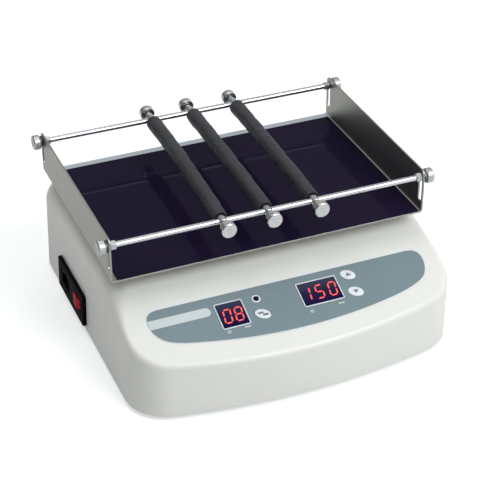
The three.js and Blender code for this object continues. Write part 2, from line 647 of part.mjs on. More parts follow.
// The bent sheet seen from the front: floor and two upturned end plates.
function traySection() {
  const right = TRAY_HALF_W;
  const bendX = right - BEND_OUTER_R;
  const bendZ = BEND_OUTER_R;
  const section = new THREE.Shape();
  section.moveTo(-right, END_PLATE_H);
  section.lineTo(-right, bendZ);
  section.absarc(-bendX, bendZ, BEND_OUTER_R, Math.PI, 1.5 * Math.PI, false);
  section.lineTo(bendX, 0);
  section.absarc(bendX, bendZ, BEND_OUTER_R, -Math.PI / 2, 0, false);
  section.lineTo(right, END_PLATE_H);
  section.lineTo(right - TRAY_T, END_PLATE_H);
  section.lineTo(right - TRAY_T, bendZ);
  section.absarc(bendX, bendZ, BEND_R, 0, -Math.PI / 2, true);
  section.lineTo(-bendX, TRAY_T);
  section.absarc(-bendX, bendZ, BEND_R, -Math.PI / 2, -Math.PI, true);
  section.lineTo(-right + TRAY_T, END_PLATE_H);
  section.closePath();
  return section;
}

// The tray seen from the side: rounds the end plates' upper corners, clears the floor by 1.
function traySide() {
  const half = TRAY_D / 2;
  const radius = 5;
  const arcZ = END_PLATE_H - radius;
  const side = new THREE.Shape();
  side.moveTo(-half - 1, -5);
  side.lineTo(half + 1, -5);
  side.lineTo(half + 1, 5);
  side.lineTo(half, 5);
  side.lineTo(half, arcZ);
  side.absarc(half - radius, arcZ, radius, 0, Math.PI / 2, false);
  side.absarc(-half + radius, arcZ, radius, Math.PI / 2, Math.PI, false);
  side.lineTo(-half, 5);
  side.lineTo(-half - 1, 5);
  return side;
}

// Rod slots in the end plates; heights are above the tray underside.
const SLOT = { width: 6.8, bottom: 12, top: ROD_Z + 3.4 };
function tray() {
  const reach = TRAY_HALF_W + 5;
  const { width, bottom, top } = SLOT;
  const sheet = extrude(traySection(), -TRAY_D / 2, TRAY_D / 2, {
    frame: ALONG_Y,
    curveSegments: 3,
  });
  const slots = [-ROD_Y, ROD_Y].map((y) => {
    const shape = roundedRect(width, top - bottom, width / 2 - 0.01, [y, (top + bottom) / 2]);
    return alongX(shape, -reach, reach);
  });
  return cut(sheet.intersect(alongX(traySide(), -reach, reach, 3)), ...slots);
}

const MAT = {
  thickness: 1.6,
  backStrip: 11, // bare metal left behind the mat
  leftStrip: 2.5, // extra bare metal left of the mat
  sideGaps: 1, // both sides together, from the bends
};
function mat() {
  const { thickness, backStrip, leftStrip, sideGaps } = MAT;
  const width = 2 * (TRAY_HALF_W - BEND_OUTER_R) - sideGaps - leftStrip;
  const shape = roundedRect(width, TRAY_D - backStrip, 1.5, [leftStrip / 2, -backStrip / 2]);
  const bottom = TRAY_T + TOUCH;
  return extrude(shape, bottom, bottom + thickness, { curveSegments: 3 });
}

function addPlatformPieces(platform) {
  // The platform's axis sits over the main crank pin, so the idler pins lie as their posts do.
  const places = Object.entries(IDLERS).map(([name, [x, y]]) =>
    [name, [x - SHAFT[0], y - SHAFT[1]]]);
  addPiece(platform, "carrier", carrier(places.map(([, place]) => place)), FINISH.aluminium);
  addPiece(platform, "platform_bearing", ring(5.08, 10.8, -9, -0.5, 20), FINISH.satinMetal);
  for (const [name, place] of places) {
    const bush = ring(4.1, 7.9, -9, -0.5, 16);
    addPiece(platform, `idler_bush_${name}`, bush, FINISH.satinMetal, place);
  }
  addPiece(platform, "tray", tray(), FINISH.sheetSteel);
  addPiece(platform, "mat", mat(), FINISH.glossBlack);
}

// ---------------------------------------------------------------- rod rack
// Profiles are (radius, distance from the middle of the rod or bar).
const ROD_END = 177;
const SHOULDER_END = TRAY_HALF_W - TRAY_T - 0.3; // just inside the end plate
const ROD_HALF = [
  [ROD_R, SHOULDER_END - 6], [5, SHOULDER_END - 5.6], [5, SHOULDER_END], [ROD_R, SHOULDER_END],
  [ROD_R, ROD_END - 0.6], [2.4, ROD_END], [0, ROD_END],
];
const END_KNOB_R = 7.9;
const END_KNOB_FOOT = TRAY_HALF_W + 0.4; // just outside the end plate
const END_KNOB_PROFILE = [
  [0, 180.6], [6.8, 180.6], [END_KNOB_R, 179.4], [END_KNOB_R, 173.8], [7, 172.9],
  [4.6, 172.9], [4.6, 171.6], [6, 171.6], [6, END_KNOB_FOOT], [3.14, END_KNOB_FOOT],
  [3.14, ROD_END + 0.8], [0, ROD_END + 0.8],
];

// x at the tray's middle, from its centre; skew is the sideways run per millimetre to the back
const BARS = [
  { name: "left", x: -48.8, skew: 0.0253 },
  { name: "middle", x: -1.55, skew: 0.0157 },
  { name: "right", x: 49.7, skew: 0.0168 },
];
const BAR_CORE_R = 3.5;
const BAR_BOSS_R = 4.6; // drilled for the rod
const BAR_END = 129;
const BAR_HALF = [
  [BAR_CORE_R, 105], [BAR_BOSS_R, 105.6], [BAR_BOSS_R, 116], [4.1, 116.5],
  [2.5, 116.5], [2.5, BAR_END], [0, BAR_END],
];
const BAR_KNOB_R = 8;
const BAR_KNOB_PROFILE = [
  [0, 132], [7.2, 132], [BAR_KNOB_R, 131.2], [BAR_KNOB_R, 125], [7.4, 124.4], [6.7, 124.4],
  [5.9, 127], [4.2, 127.5], [4.2, 117.2], [2.64, 117.2], [2.64, BAR_END + 0.6],
  [0, BAR_END + 0.6],
];
const SLEEVE_R = 8.3;
const SLEEVE_END = 105.4;
const SLEEVE_BORE = BAR_CORE_R + 0.18;
const SLEEVE_PROFILE = [
  [SLEEVE_BORE, 7 - SLEEVE_END], [5.4, 7 - SLEEVE_END], [5.4, -SLEEVE_END],
  [SLEEVE_R - 0.6, -SLEEVE_END], [SLEEVE_R, 0.8 - SLEEVE_END], [SLEEVE_R, SLEEVE_END - 0.8],
  [SLEEVE_R - 0.6, SLEEVE_END], [5.4, SLEEVE_END], [5.4, SLEEVE_END - 7],
  [SLEEVE_BORE, SLEEVE_END - 7],
];

function addRod(platform, name, y) {
  const rack = addGroup(platform, 0, y, ROD_Z);
  addPiece(rack, `rod_${name}`, turn(mirrored(ROD_HALF), 14, TO_X), FINISH.chrome);
  for (const [side, frame] of [["left", TO_MINUS_X], ["right", TO_X]]) {
    const knob = turn(END_KNOB_PROFILE, 16, frame);
    addPiece(rack, `end_knob_${name}_${side}`, knob, FINISH.satinMetal);
  }
}

// Cross bar: a core with a boss drilled for each rod and a thin end for each clamp knob.
function crossBar(angle) {
  const rodHoles = [-ROD_Y, ROD_Y].map((y) => {
    const frame = product(shifted(0, y / Math.cos(angle), 0), aboutZ(-angle), ALONG_X);
    return extrude(disc(ROD_R + 0.14, 16), -8, 8, { frame });
  });
  return cut(turn(mirrored(BAR_HALF), 14, TO_Y), ...rodHoles);
}

function addCrossBar(platform, { name, x, skew }) {
  const angle = -Math.atan(skew);
  const cross = addGroup(platform, x, 0, ROD_Z);
  cross.rotation.z = angle;
  addPiece(cross, `bar_${name}`, crossBar(angle), FINISH.satinMetal);
  addPiece(cross, `sleeve_${name}`, turn(SLEEVE_PROFILE, 16, TO_Y), FINISH.foam);
  for (const [end, frame] of [["front", TO_MINUS_Y], ["back", TO_Y]]) {
    const knob = turn(BAR_KNOB_PROFILE, 16, frame);
    addPiece(cross, `bar_knob_${name}_${end}`, knob, FINISH.satinMetal);
  }
}

// ---------------------------------------------------------------- assembly
const shaker = new THREE.Group();
const root = addGroup(shaker, CASE_SHIFT_X, 0, 0);
const panel = addGroup(root, 0, SLOPE_Y, SLOPE_Z);
panel.rotation.x = SLOPE;
addCase(root);
addPanelPieces(panel);
addPowerPieces(root);
addDrive(root);

const platform = addGroup(root, SHAFT[0] + ORBIT[0], SHAFT[1] + ORBIT[1], TRAY_Z);
addPlatformPieces(platform);
addRod(platform, "front", -ROD_Y);
addRod(platform, "back", ROD_Y);
for (const bar of BARS) addCrossBar(platform, bar);

export default shaker;
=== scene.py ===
# An orbital shaker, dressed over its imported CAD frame.
# It stands on the plane z = 0 with X to the right, Y to the back and Z up. The control panel
# slopes down to the front, the power inlet is in the left wall, and the platform on top
# carries a tray with a rack of three foam-covered bars on two cross rods.
# Lengths are millimetres; lights, camera and shader textures use metres.
import bmesh
import bpy
import math
from mathutils import Matrix, Vector, noise


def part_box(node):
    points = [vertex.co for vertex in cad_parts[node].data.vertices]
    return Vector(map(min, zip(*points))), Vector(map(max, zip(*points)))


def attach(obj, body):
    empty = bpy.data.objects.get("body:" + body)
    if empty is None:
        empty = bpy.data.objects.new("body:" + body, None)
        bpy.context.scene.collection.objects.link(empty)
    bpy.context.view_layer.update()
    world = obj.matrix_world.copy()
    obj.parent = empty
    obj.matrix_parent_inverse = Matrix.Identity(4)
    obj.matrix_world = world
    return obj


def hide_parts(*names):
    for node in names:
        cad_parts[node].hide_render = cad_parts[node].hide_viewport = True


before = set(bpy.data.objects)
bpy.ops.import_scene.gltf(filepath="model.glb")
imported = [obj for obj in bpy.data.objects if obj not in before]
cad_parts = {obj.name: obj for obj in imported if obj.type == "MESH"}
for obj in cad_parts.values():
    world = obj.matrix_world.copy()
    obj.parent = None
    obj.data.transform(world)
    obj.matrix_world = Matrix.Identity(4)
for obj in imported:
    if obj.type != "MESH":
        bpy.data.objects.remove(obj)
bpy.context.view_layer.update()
MM = 0.001
TAU = 2 * math.pi
IDENTITY = Matrix()
CORNERS = ((-1, -1), (-1, 1), (1, -1), (1, 1))


def box_mm(node):
    low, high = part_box(node)
    return Vector(low) / MM, Vector(high) / MM


def mid(node):
    low, high = box_mm(node)
    return (low + high) / 2


# ------------------------------------------------------------------ places, read from the frame
CASE_LO, CASE_HI = box_mm("case_shell")
CASE_X = (CASE_LO.x + CASE_HI.x) / 2
HALF_W = (CASE_HI.x - CASE_LO.x) / 2
FRONT_Y, BACK_Y = CASE_LO.y, CASE_HI.y
EDGE_Z, TOP_Z = CASE_LO.z, CASE_HI.z
WALL_X = CASE_X - HALF_W  # foot of the left wall
TRAY_LO, TRAY_HI = box_mm("tray")
TRAY_X, TRAY_Y = (TRAY_LO.x + TRAY_HI.x) / 2, (TRAY_LO.y + TRAY_HI.y) / 2
TRAY_Z = TRAY_LO.z
SHAFT = mid("main_pulley")
MOTOR = mid("motor")
IDLERS = {k: mid("idler_post_" + k) for k in ("left", "right", "back")}
THROW_X, THROW_Y = TRAY_X - SHAFT.x, TRAY_Y - SHAFT.y  # offset of every crank pin
RODS = {k: mid("rod_" + k) for k in ("front", "back")}
BAR_SLOPES = {"left": 0.0253, "middle": 0.0157, "right": 0.0168}  # x gained per y
BARS = {name: mid("sleeve_" + name) for name in BAR_SLOPES}
BAR_TURNS = {name: -math.atan(slope) for name, slope in BAR_SLOPES.items()}

# ------------------------------------------------------------------ placing
YZ = Matrix(((0, 0, 1, 0), (1, 0, 0, 0), (0, 1, 0, 0), (0, 0, 0, 1)))  # (y, z) outline, along X
XZ = Matrix(((1, 0, 0, 0), (0, 0, 1, 0), (0, 1, 0, 0), (0, 0, 0, 1)))  # (x, z) outline, along Y


def shift(x, y, z=0):
    return Matrix.Translation((x, y, z))


def spin(angle, axis):
    return Matrix.Rotation(angle, 4, axis)


# ------------------------------------------------------------------ flat outlines


def circle(radius, count=48, x=0.0, y=0.0):
    return [(x + radius * math.cos(TAU * k / count), y + radius * math.sin(TAU * k / count))
            for k in range(count)]


def arc(x, y, radius, start, end, steps):
    angles = [start + (end - start) * k / steps for k in range(steps + 1)]
    return [(x + radius * math.cos(a), y + radius * math.sin(a)) for a in angles]


def oval(half_long, half_short, x, y, turn, count=56):
    cos, sin = math.cos(turn), math.sin(turn)
    flat = [(half_long * math.cos(TAU * k / count), half_short * math.sin(TAU * k / count))
            for k in range(count)]
    return [(x + u * cos - v * sin, y + u * sin + v * cos) for u, v in flat]


def rect(width, height, corner, x=0.0, y=0.0, steps=6):
    """A rectangle round (x, y) with round corners."""
    points = []
    for side_x, side_y, start in ((1, -1, -90), (1, 1, 0), (-1, 1, 90), (-1, -1, 180)):
        mid_x = x + side_x * (width / 2 - corner)
        mid_y = y + side_y * (height / 2 - corner)
        for k in range(steps + 1):
            angle = math.radians(start + 90 * k / steps)
            points.append((mid_x + corner * math.cos(angle), mid_y + corner * math.sin(angle)))
    return points


def rounded(points, radius, closed=True, steps=4):
    """Rounds each corner. A point's third number, if any, is its own corner radius."""
    out = []
    for i, point in enumerate(points):
        if not closed and i in (0, len(points) - 1):
            out.append(tuple(point[:2]))
            continue
        corner = Vector(point[:2])
        before = Vector(points[i - 1][:2]) - corner
        after = Vector(points[(i + 1) % len(points)][:2]) - corner
        angle = before.angle(after)
        size = point[2] if len(point) > 2 else radius
        if angle > math.radians(172) or not size:
            out.append(tuple(corner))
            continue
        trim = min(size / math.tan(angle / 2), 0.48 * before.length, 0.48 * after.length)
        start = corner + before.normalized() * trim
        end = corner + after.normalized() * trim
        for k in range(steps + 1):
            f = k / steps
            spot = start * (1 - f) ** 2 + corner * 2 * f * (1 - f) + end * f ** 2
            out.append((spot.x, spot.y))
    return out


def grown(points, distance):
    """A convex outline moved outwards, corner by corner."""
    out = []
    for i, (x, y) in enumerate(points):
        (ax, ay), (bx, by) = points[i - 1], points[(i + 1) % len(points)]
        span = math.hypot(bx - ax, by - ay)
        out.append((x + distance * (by - ay) / span, y - distance * (bx - ax) / span))
    return out


# ------------------------------------------------------------------ solids


def bridge(mesh, rings):
    """Faces between neighbouring rings; a ring of one point is a pole."""
    for a, b in zip(rings, rings[1:]):
        count = max(len(a), len(b))
        for k in range(count):
            j = (k + 1) % count
            if len(a) == 1:
                mesh.faces.new((a[0], b[k], b[j]))
            elif len(b) == 1:
                mesh.faces.new((a[k], b[0], a[j]))
            else:
                mesh.faces.new((a[k], b[k], b[j], a[j]))


def lathe(profile, segs=48, corner=0, steps=4, matrix=IDENTITY, mesh=None):
    """Turns (radius, height[, corner radius]) points about Z.
    A profile that starts off the axis closes on itself."""
    mesh = mesh or bmesh.new()
    closed = profile[0][0] != 0
    if corner:
        profile = rounded(profile, corner, closed, steps)
    rings = []
    for radius, z in profile:
        flat = circle(radius, segs) if radius else [(0, 0)]
        rings.append([mesh.verts.new((*p, z)) for p in flat])
    bridge(mesh, rings + rings[:1] if closed else rings)
    bmesh.ops.transform(mesh, matrix=matrix, verts=[v for ring in rings for v in ring])
    return mesh


def tube(inner, outer, low, high, corner, steps, segs, matrix, mesh=None):
    profile = [(inner, low), (outer, low), (outer, high), (inner, high)]
    return lathe(profile, segs, corner, steps, matrix, mesh)


def plate(outlines, low, high, edge=0.0, steps=2, matrix=IDENTITY, mesh=None):
    """A plate with rims rounded by `edge`: the anticlockwise outer outline first, then holes."""
    curve = bpy.data.curves.new("tmp", "CURVE")
    curve.dimensions = "2D"
    curve.fill_mode = "BOTH"
    for points in outlines:
        spline = curve.splines.new("POLY")
        spline.points.add(len(points) - 1)
        for target, p in zip(spline.points, points):
            target.co = (p[0], p[1], 0, 1)
        spline.use_cyclic_u = True
    edge = min(edge, (high - low) * 0.45)
    curve.extrude = (high - low) / 2 - edge
    curve.bevel_depth = edge
    curve.bevel_resolution = steps
    curve.offset = -edge
    holder = bpy.data.objects.new("tmp", curve)
    bpy.context.scene.collection.objects.link(holder)
    data = evaluated_mesh(holder)
    bpy.data.objects.remove(holder)
    bpy.data.curves.remove(curve)
    made = bmesh.new()
    made.from_mesh(data)
    bmesh.ops.remove_doubles(made, verts=made.verts[:], dist=1e-4)
    bmesh.ops.translate(made, vec=(0, 0, (low + high) / 2), verts=made.verts[:])
    bmesh.ops.transform(made, matrix=matrix, verts=made.verts[:])
    if mesh is not None:
        made.to_mesh(data)
        made.free()
        mesh.from_mesh(data)
        made = mesh
    bpy.data.meshes.remove(data)
    return made


def prism(outline, low, high, matrix=IDENTITY, mesh=None):
    """A sharp-edged prism of one outline."""
    mesh = mesh or bmesh.new()
    bottom = [mesh.verts.new((p[0], p[1], low)) for p in outline]
    top = [mesh.verts.new((p[0], p[1], high)) for p in outline]
    mesh.faces.new(bottom)
    mesh.faces.new(list(reversed(top)))
    for i in range(len(outline)):
        j = (i + 1) % len(outline)
        mesh.faces.new((bottom[i], top[i], top[j], bottom[j]))
    bmesh.ops.transform(mesh, matrix=matrix, verts=bottom + top)
    return mesh


def evaluated_mesh(obj):
    bpy.context.view_layer.update()
    graph = bpy.context.evaluated_depsgraph_get()
    return bpy.data.meshes.new_from_object(obj.evaluated_get(graph))


def carve(mesh, *cutters, mode="DIFFERENCE"):
    """Booleans a mesh with closed cutters, one after another, and uses them all up."""
    parts = []
    for part in (mesh, *cutters):
        bmesh.ops.recalc_face_normals(part, faces=part.faces[:])
        data = bpy.data.meshes.new("tmp")
        part.to_mesh(data)
        part.free()
        parts.append(bpy.data.objects.new("tmp", data))
        bpy.context.scene.collection.objects.link(parts[-1])
    for cutter in parts[1:]:
        boolean = parts[0].modifiers.new("cut", "BOOLEAN")
        boolean.operation = mode
        boolean.solver = "EXACT"
        boolean.object = cutter
    data = evaluated_mesh(parts[0])
    out = bmesh.new()
    out.from_mesh(data)
    bpy.data.meshes.remove(data)
    for part in parts:
        data = part.data
        bpy.data.objects.remove(part)
        bpy.data.meshes.remove(data)
    bmesh.ops.remove_doubles(out, verts=out.verts[:], dist=1e-5)
    bmesh.ops.dissolve_degenerate(out, edges=out.edges[:], dist=1e-5)
    return out


def piece(name, mesh, look, body="base", cad=None, sharp=38, bevel=0.0,
          bevel_segments=2, bevel_angle=50, weighted=True, matrix=IDENTITY):
    """Makes a mesh in millimetres an object that rides on `body` and replaces `cad`."""
    bmesh.ops.recalc_face_normals(mesh, faces=mesh.faces[:])
    to_metres = Matrix.Diagonal((MM, MM, MM, 1))
    bmesh.ops.transform(mesh, matrix=to_metres @ matrix, verts=mesh.verts[:])
    data = bpy.data.meshes.new(name)
    mesh.to_mesh(data)
    mesh.free()
    data.shade_smooth()
    data.set_sharp_from_angle(angle=math.radians(sharp))
    obj = bpy.data.objects.new(name, data)
    bpy.context.scene.collection.objects.link(obj)
    data.materials.append(LOOKS[look])
    if bevel:
        edges = obj.modifiers.new("edges", "BEVEL")
        edges.width = bevel * MM
        edges.segments = bevel_segments
        edges.limit_method = "ANGLE"
        edges.angle_limit = math.radians(bevel_angle)
    if weighted:
        obj.modifiers.new("normals", "WEIGHTED_NORMAL").keep_sharp = True
    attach(obj, body)
    if cad:
        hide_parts(cad)


# ------------------------------------------------------------------ materials
LOOKS = {}  # every material by its name


class Mat:
    """A node material round one Principled shader, textured in object coordinates."""

    def __init__(self, name, color, rough, metal=0.0, spec=0.5):
        self.material = LOOKS[name] = bpy.data.materials.new(name)
        self.material.use_nodes = True
        self.tree = self.material.node_tree
        self.inputs = self.tree.nodes["Principled BSDF"].inputs
        self.inputs["Base Color"].default_value = (*color, 1)
        self.inputs["Roughness"].default_value = rough
        self.inputs["Metallic"].default_value = metal
        self.inputs["Specular IOR Level"].default_value = spec
        self.inputs["Coat Roughness"].default_value = 0.05
        self.coord = self.node("TexCoord").outputs["Object"]
        self.normal = None

    def node(self, kind, **values):
        """A new shader node; values are its inputs, with _ for a space."""
        node = self.tree.nodes.new("ShaderNode" + kind)
        for key, value in values.items():
            node.inputs[key.replace("_", " ")].default_value = value
        return node

    def link(self, output, target):
        self.tree.links.new(output, target)

    def scaled(self, scale):
        mapping = self.node("Mapping", Scale=scale)
        self.link(self.coord, mapping.inputs["Vector"])
        return mapping.outputs["Vector"]

    def split(self):
        xyz = self.node("SeparateXYZ")
        self.link(self.coord, xyz.inputs["Vector"])
        return xyz.outputs

    def noise(self, scale, detail=3.0, rough=0.55, vector=None):
        texture = self.node("TexNoise", Scale=scale, Detail=detail, Roughness=rough)
        self.link(vector or self.coord, texture.inputs["Vector"])
        return texture.outputs["Fac"]

    def voronoi(self, scale):
        texture = self.node("TexVoronoi", Scale=scale)
        self.link(self.coord, texture.inputs["Vector"])
        return texture.outputs["Distance"]

    def remap(self, fac, low, high, source=(0.3, 0.7)):
        span = self.node("MapRange", From_Min=source[0], From_Max=source[1],
                         To_Min=low, To_Max=high)
        self.link(fac, span.inputs["Value"])
        return span.outputs["Result"]

    def ramp(self, fac, *stops):
        """Stops are (position, linear colour)."""
        ramp = self.node("ValToRGB")
        elements = ramp.color_ramp.elements
        while len(elements) < len(stops):
            elements.new(0.5)
        for element, (position, color) in zip(elements, stops):
            element.position = position
            element.color = (*color, 1)
        self.link(fac, ramp.inputs["Fac"])
        return ramp.outputs["Color"]

    def mottle(self, fac, color, dark, light, low=0.3, high=0.7):
        """One colour, darkened and lightened by the given factors."""
        return self.ramp(fac, (low, shade(color, dark)), (high, shade(color, light)))

    def color(self, output):
        self.link(output, self.inputs["Base Color"])

    def rough(self, output):
        self.link(output, self.inputs["Roughness"])

    def bump(self, fac, strength, distance):
        """Adds a bump on top of the earlier ones."""
        bump = self.node("Bump", Strength=strength, Distance=distance)
        self.link(fac, bump.inputs["Height"])
        if self.normal is not None:
            self.link(self.normal, bump.inputs["Normal"])
        self.normal = bump.outputs["Normal"]
        self.link(self.normal, self.inputs["Normal"])


def srgb(*rgb):
    """Linear colour from 0-255 sRGB."""
    def linear(value):
        value = value / 255
        return value / 12.92 if value <= 0.04045 else ((value + 0.055) / 1.055) ** 2.4
    return tuple(linear(value) for value in rgb)


def shade(color, factor):
    return tuple(min(1.0, value * factor) for value in color)


def plastic(name, rgb, rough, grain=0.0, grain_scale=900, vary=0.03, spec=0.5):
    """Slightly uneven plastic; `grain` is the strength of a fine surface texture."""
    color = srgb(*rgb)
    mat = Mat(name, color, rough, spec=spec)
    mat.color(mat.mottle(mat.noise(scale=14, detail=4), color, 1 - vary, 1 + vary))
    mat.rough(mat.remap(mat.noise(scale=60), rough - 0.04, rough + 0.05))
    if grain:
        mat.bump(mat.noise(scale=grain_scale, detail=2), strength=grain, distance=0.0002)


def brush_lines(mat):
    """Fine lines along X."""
    return mat.noise(scale=1.0, detail=4, rough=0.6, vector=mat.scaled((15, 900, 900)))


def plated_sheet():
    color, rough, vary = srgb(180, 184, 188), 0.38, 0.08
    mat = Mat("plated_sheet", color, rough, metal=1.0)
    lines = brush_lines(mat)
    mat.color(mat.mottle(lines, color, 1 - vary, 1 + vary))
    mat.rough(mat.remap(lines, rough - 0.06, rough + 0.1))
    mat.bump(lines, strength=0.2, distance=0.00005)


def turned_metal(name, rgb, rough, axis):
    """Metal with the fine rings that turning leaves, stacked along one axis."""
    color, vary = srgb(*rgb), 0.05
    mat = Mat(name, color, rough, metal=1.0)
    scale = [60, 60, 60]
    scale["xyz".index(axis)] = 3000
    rings = mat.noise(scale=1.0, detail=3, rough=0.5, vector=mat.scaled(scale))
    mat.color(mat.mottle(rings, color, 1 - vary, 1 + vary))
    mat.rough(mat.remap(mat.noise(scale=300), rough - 0.05, rough + 0.08))
    mat.bump(rings, strength=0.08, distance=0.00005)


def tray_steel():
    """Sheet brushed along X; the strip of floor behind the mat is drawn paler than the end plates,
    a painted reflection of the bright backdrop.
    """
    plain, reflection_pale = srgb(168, 170, 163), srgb(214, 222, 228)
    mat = Mat("sheet_brushed_tray", plain, rough=0.34, metal=1.0)
    lines = brush_lines(mat)
    place = mat.split()
    behind_mat = ((TRAY_HI.y - 13) * MM, (TRAY_HI.y - 11) * MM)
    floor_height = ((TRAY_Z + 3) * MM, (TRAY_Z + 5) * MM)
    back = mat.remap(place["Y"], 0, 1, behind_mat)
    low_down = mat.remap(place["Z"], 1, 0, floor_height)
    # mask of the painted reflection: the floor strip just behind the mat
    both = mat.node("Math")
    both.operation = "MULTIPLY"
    mat.link(back, both.inputs[0])
    mat.link(low_down, both.inputs[1])
    # painted reflection: the paler colour goes on the strip behind the mat
    mix = mat.node("Mix")
    mix.data_type = "RGBA"
    factor, color_a, color_b = mix.inputs[0], mix.inputs[6], mix.inputs[7]
    mat.link(both.outputs[0], factor)
    mat.link(mat.mottle(lines, plain, 0.95, 1.05), color_a)
    mat.link(mat.mottle(lines, reflection_pale, 0.95, 1.05), color_b)
    mat.color(mix.outputs[2])
    mat.rough(mat.remap(lines, 0.36, 0.5))
    mat.bump(lines, strength=0.12, distance=0.00005)


def chrome():
    color = srgb(216, 218, 220)
    mat = Mat("polished_rod", color, rough=0.26, metal=1.0)
    lines = mat.noise(scale=1.0, detail=3, rough=0.5, vector=mat.scaled((30, 900, 900)))
    mat.rough(mat.remap(lines, 0.22, 0.3))
    mat.color(mat.mottle(mat.noise(scale=8, detail=2), color, 0.97, 1))


def foam():
    color = srgb(33, 36, 41)
    mat = Mat("foam_sleeve", color, rough=0.55)
    pores = mat.voronoi(scale=1500)
    mat.color(mat.mottle(mat.noise(scale=45, detail=5, rough=0.7), color, 0.75, 1.3))
    mat.inputs["Sheen Weight"].default_value = 0.05
    mat.inputs["Sheen Roughness"].default_value = 0.5
    mat.bump(pores, strength=0.35, distance=0.0004)
    mat.bump(mat.noise(scale=120, detail=4, rough=0.6), strength=0.35, distance=0.0008)


def mat_sheet():
    blue, violet = srgb(22, 19, 39), srgb(31, 21, 46)
    mat = Mat("gloss_mat", blue, rough=0.1, spec=0.03)
    mat.color(mat.ramp(mat.noise(scale=3.5), (0.35, blue), (0.65, violet)))
    mat.rough(mat.remap(mat.noise(scale=25, detail=4), 0.04, 0.12))
    mat.bump(mat.noise(scale=9, detail=2), strength=0.05, distance=0.001)


def display_window():
    """Dark glass; the paler colour towards its back edge is a painted reflection."""
    mat = Mat("display_window", srgb(26, 22, 60), rough=0.12, spec=0.06)
    place = mat.split()
    low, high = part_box("display_speed")
    along = mat.remap(place["Y"], 0, 1, (low.y, high.y))
    # dark navy glass at the front edge, painted reflection paling towards the back edge
    mat.color(mat.ramp(along, (0.0, srgb(20, 12, 58)), (0.45, srgb(34, 30, 62)),
                       (1.0, srgb(66, 68, 88))))
    mat.rough(mat.remap(mat.noise(scale=40), 0.1, 0.18))


def lit_segment():
    color = srgb(222, 80, 70)
    mat = Mat("lit_segment", color, rough=0.4)
    mat.color(mat.mottle(mat.noise(scale=250, detail=2), color, 0.9, 1.1))
    glow = mat.mottle(mat.noise(scale=180, detail=2), color, 0.85, 1.1, low=0.25, high=0.75)
    mat.link(glow, mat.inputs["Emission Color"])
    mat.inputs["Emission Strength"].default_value = 0.6


plastic("moulded_shell", (217, 219, 214), rough=0.36, grain=0.08, grain_scale=1400,
        vary=0.012, spec=0.45)
plastic("printed_overlay", (113, 131, 137), rough=0.42, grain=0.1, grain_scale=2200, spec=0.35)
plastic("blank_label", (190, 200, 202), rough=0.45, grain=0.06, grain_scale=2200,
        vary=0.02, spec=0.3)
# white print, also used as the painted highlight round the overlay's rim
plastic("white_print_and_rim_highlight", (212, 217, 222), rough=0.42, grain=0.06, grain_scale=2200,
        vary=0.015, spec=0.35)
plastic("grey_print", (112, 122, 128), rough=0.5, vary=0.04, spec=0.3)
plastic("key_cap", (214, 222, 226), rough=0.35, grain=0.05, vary=0.012)
plastic("black_plastic", (15, 13, 22), rough=0.5, grain=0.15, grain_scale=1600,
        vary=0.15, spec=0.015)
plastic("black_gloss", (12, 11, 18), rough=0.3, vary=0.1, spec=0.03)
plastic("rocker_red", (176, 26, 26), rough=0.4, vary=0.05, spec=0.06)
plastic("rocker_mark", (120, 18, 20), rough=0.4, vary=0.05, spec=0.2)
plastic("foot_rubber", (34, 35, 38), rough=0.8, grain=0.4, grain_scale=700, vary=0.15, spec=0.25)
plastic("belt_rubber", (28, 28, 30), rough=0.75, grain=0.3, vary=0.15, spec=0.25)
plastic("board_laminate", (28, 92, 60), rough=0.35, grain=0.1, vary=0.12)
plastic("motor_paint", (70, 74, 80), rough=0.45, grain=0.12, grain_scale=1100, vary=0.06)
plated_sheet()
turned_metal("turned_x", (192, 194, 196), rough=0.42, axis="x")
turned_metal("turned_y", (206, 208, 208), rough=0.26, axis="y")
turned_metal("dark_washer", (96, 98, 100), rough=0.4, axis="x")
turned_metal("turned_z", (196, 199, 202), rough=0.32, axis="z")
turned_metal("turned_alu", (205, 208, 212), rough=0.36, axis="z")
turned_metal("turned_steel", (165, 168, 172), rough=0.3, axis="z")
tray_steel()
chrome()
foam()
mat_sheet()
display_window()
lit_segment()
plastic("lamp_lens", (24, 24, 32), rough=0.2, vary=0.08, spec=0.08)

# ------------------------------------------------------------------ the case's shape
SLOPE = math.radians(21)  # of the control panel
DRAFT = math.radians(2)  # inward lean of the left wall
SLOPE_Y, SLOPE_Z = -168.0, 62.0  # a point on the slope, and the panel's origin
RIDGE_R = 60.0  # rounding between the slope and the flat top
RIDGE_Y = SLOPE_Y + (TOP_Z - SLOPE_Z) / math.tan(SLOPE)
RIDGE_TRIM = RIDGE_R * math.tan(SLOPE / 2)
FRONT_CORNER, BACK_CORNER = 45.0, 30.0
BOW = 0.00076  # the front wall follows y = FRONT_Y + BOW * x * x


def top_at(y, lower):
    """Height and slope of the top surface, sunk by `lower`."""
    flat_from = RIDGE_Y + RIDGE_TRIM
    if y >= flat_from:
        return TOP_Z - lower, 0.0
    if y <= RIDGE_Y - RIDGE_TRIM * math.cos(SLOPE):
        return SLOPE_Z + (y - SLOPE_Y) * math.tan(SLOPE) - lower, math.tan(SLOPE)
    ahead = flat_from - y
    rise = math.sqrt(RIDGE_R ** 2 - ahead * ahead)
    return TOP_Z - RIDGE_R + rise - lower, ahead / rise


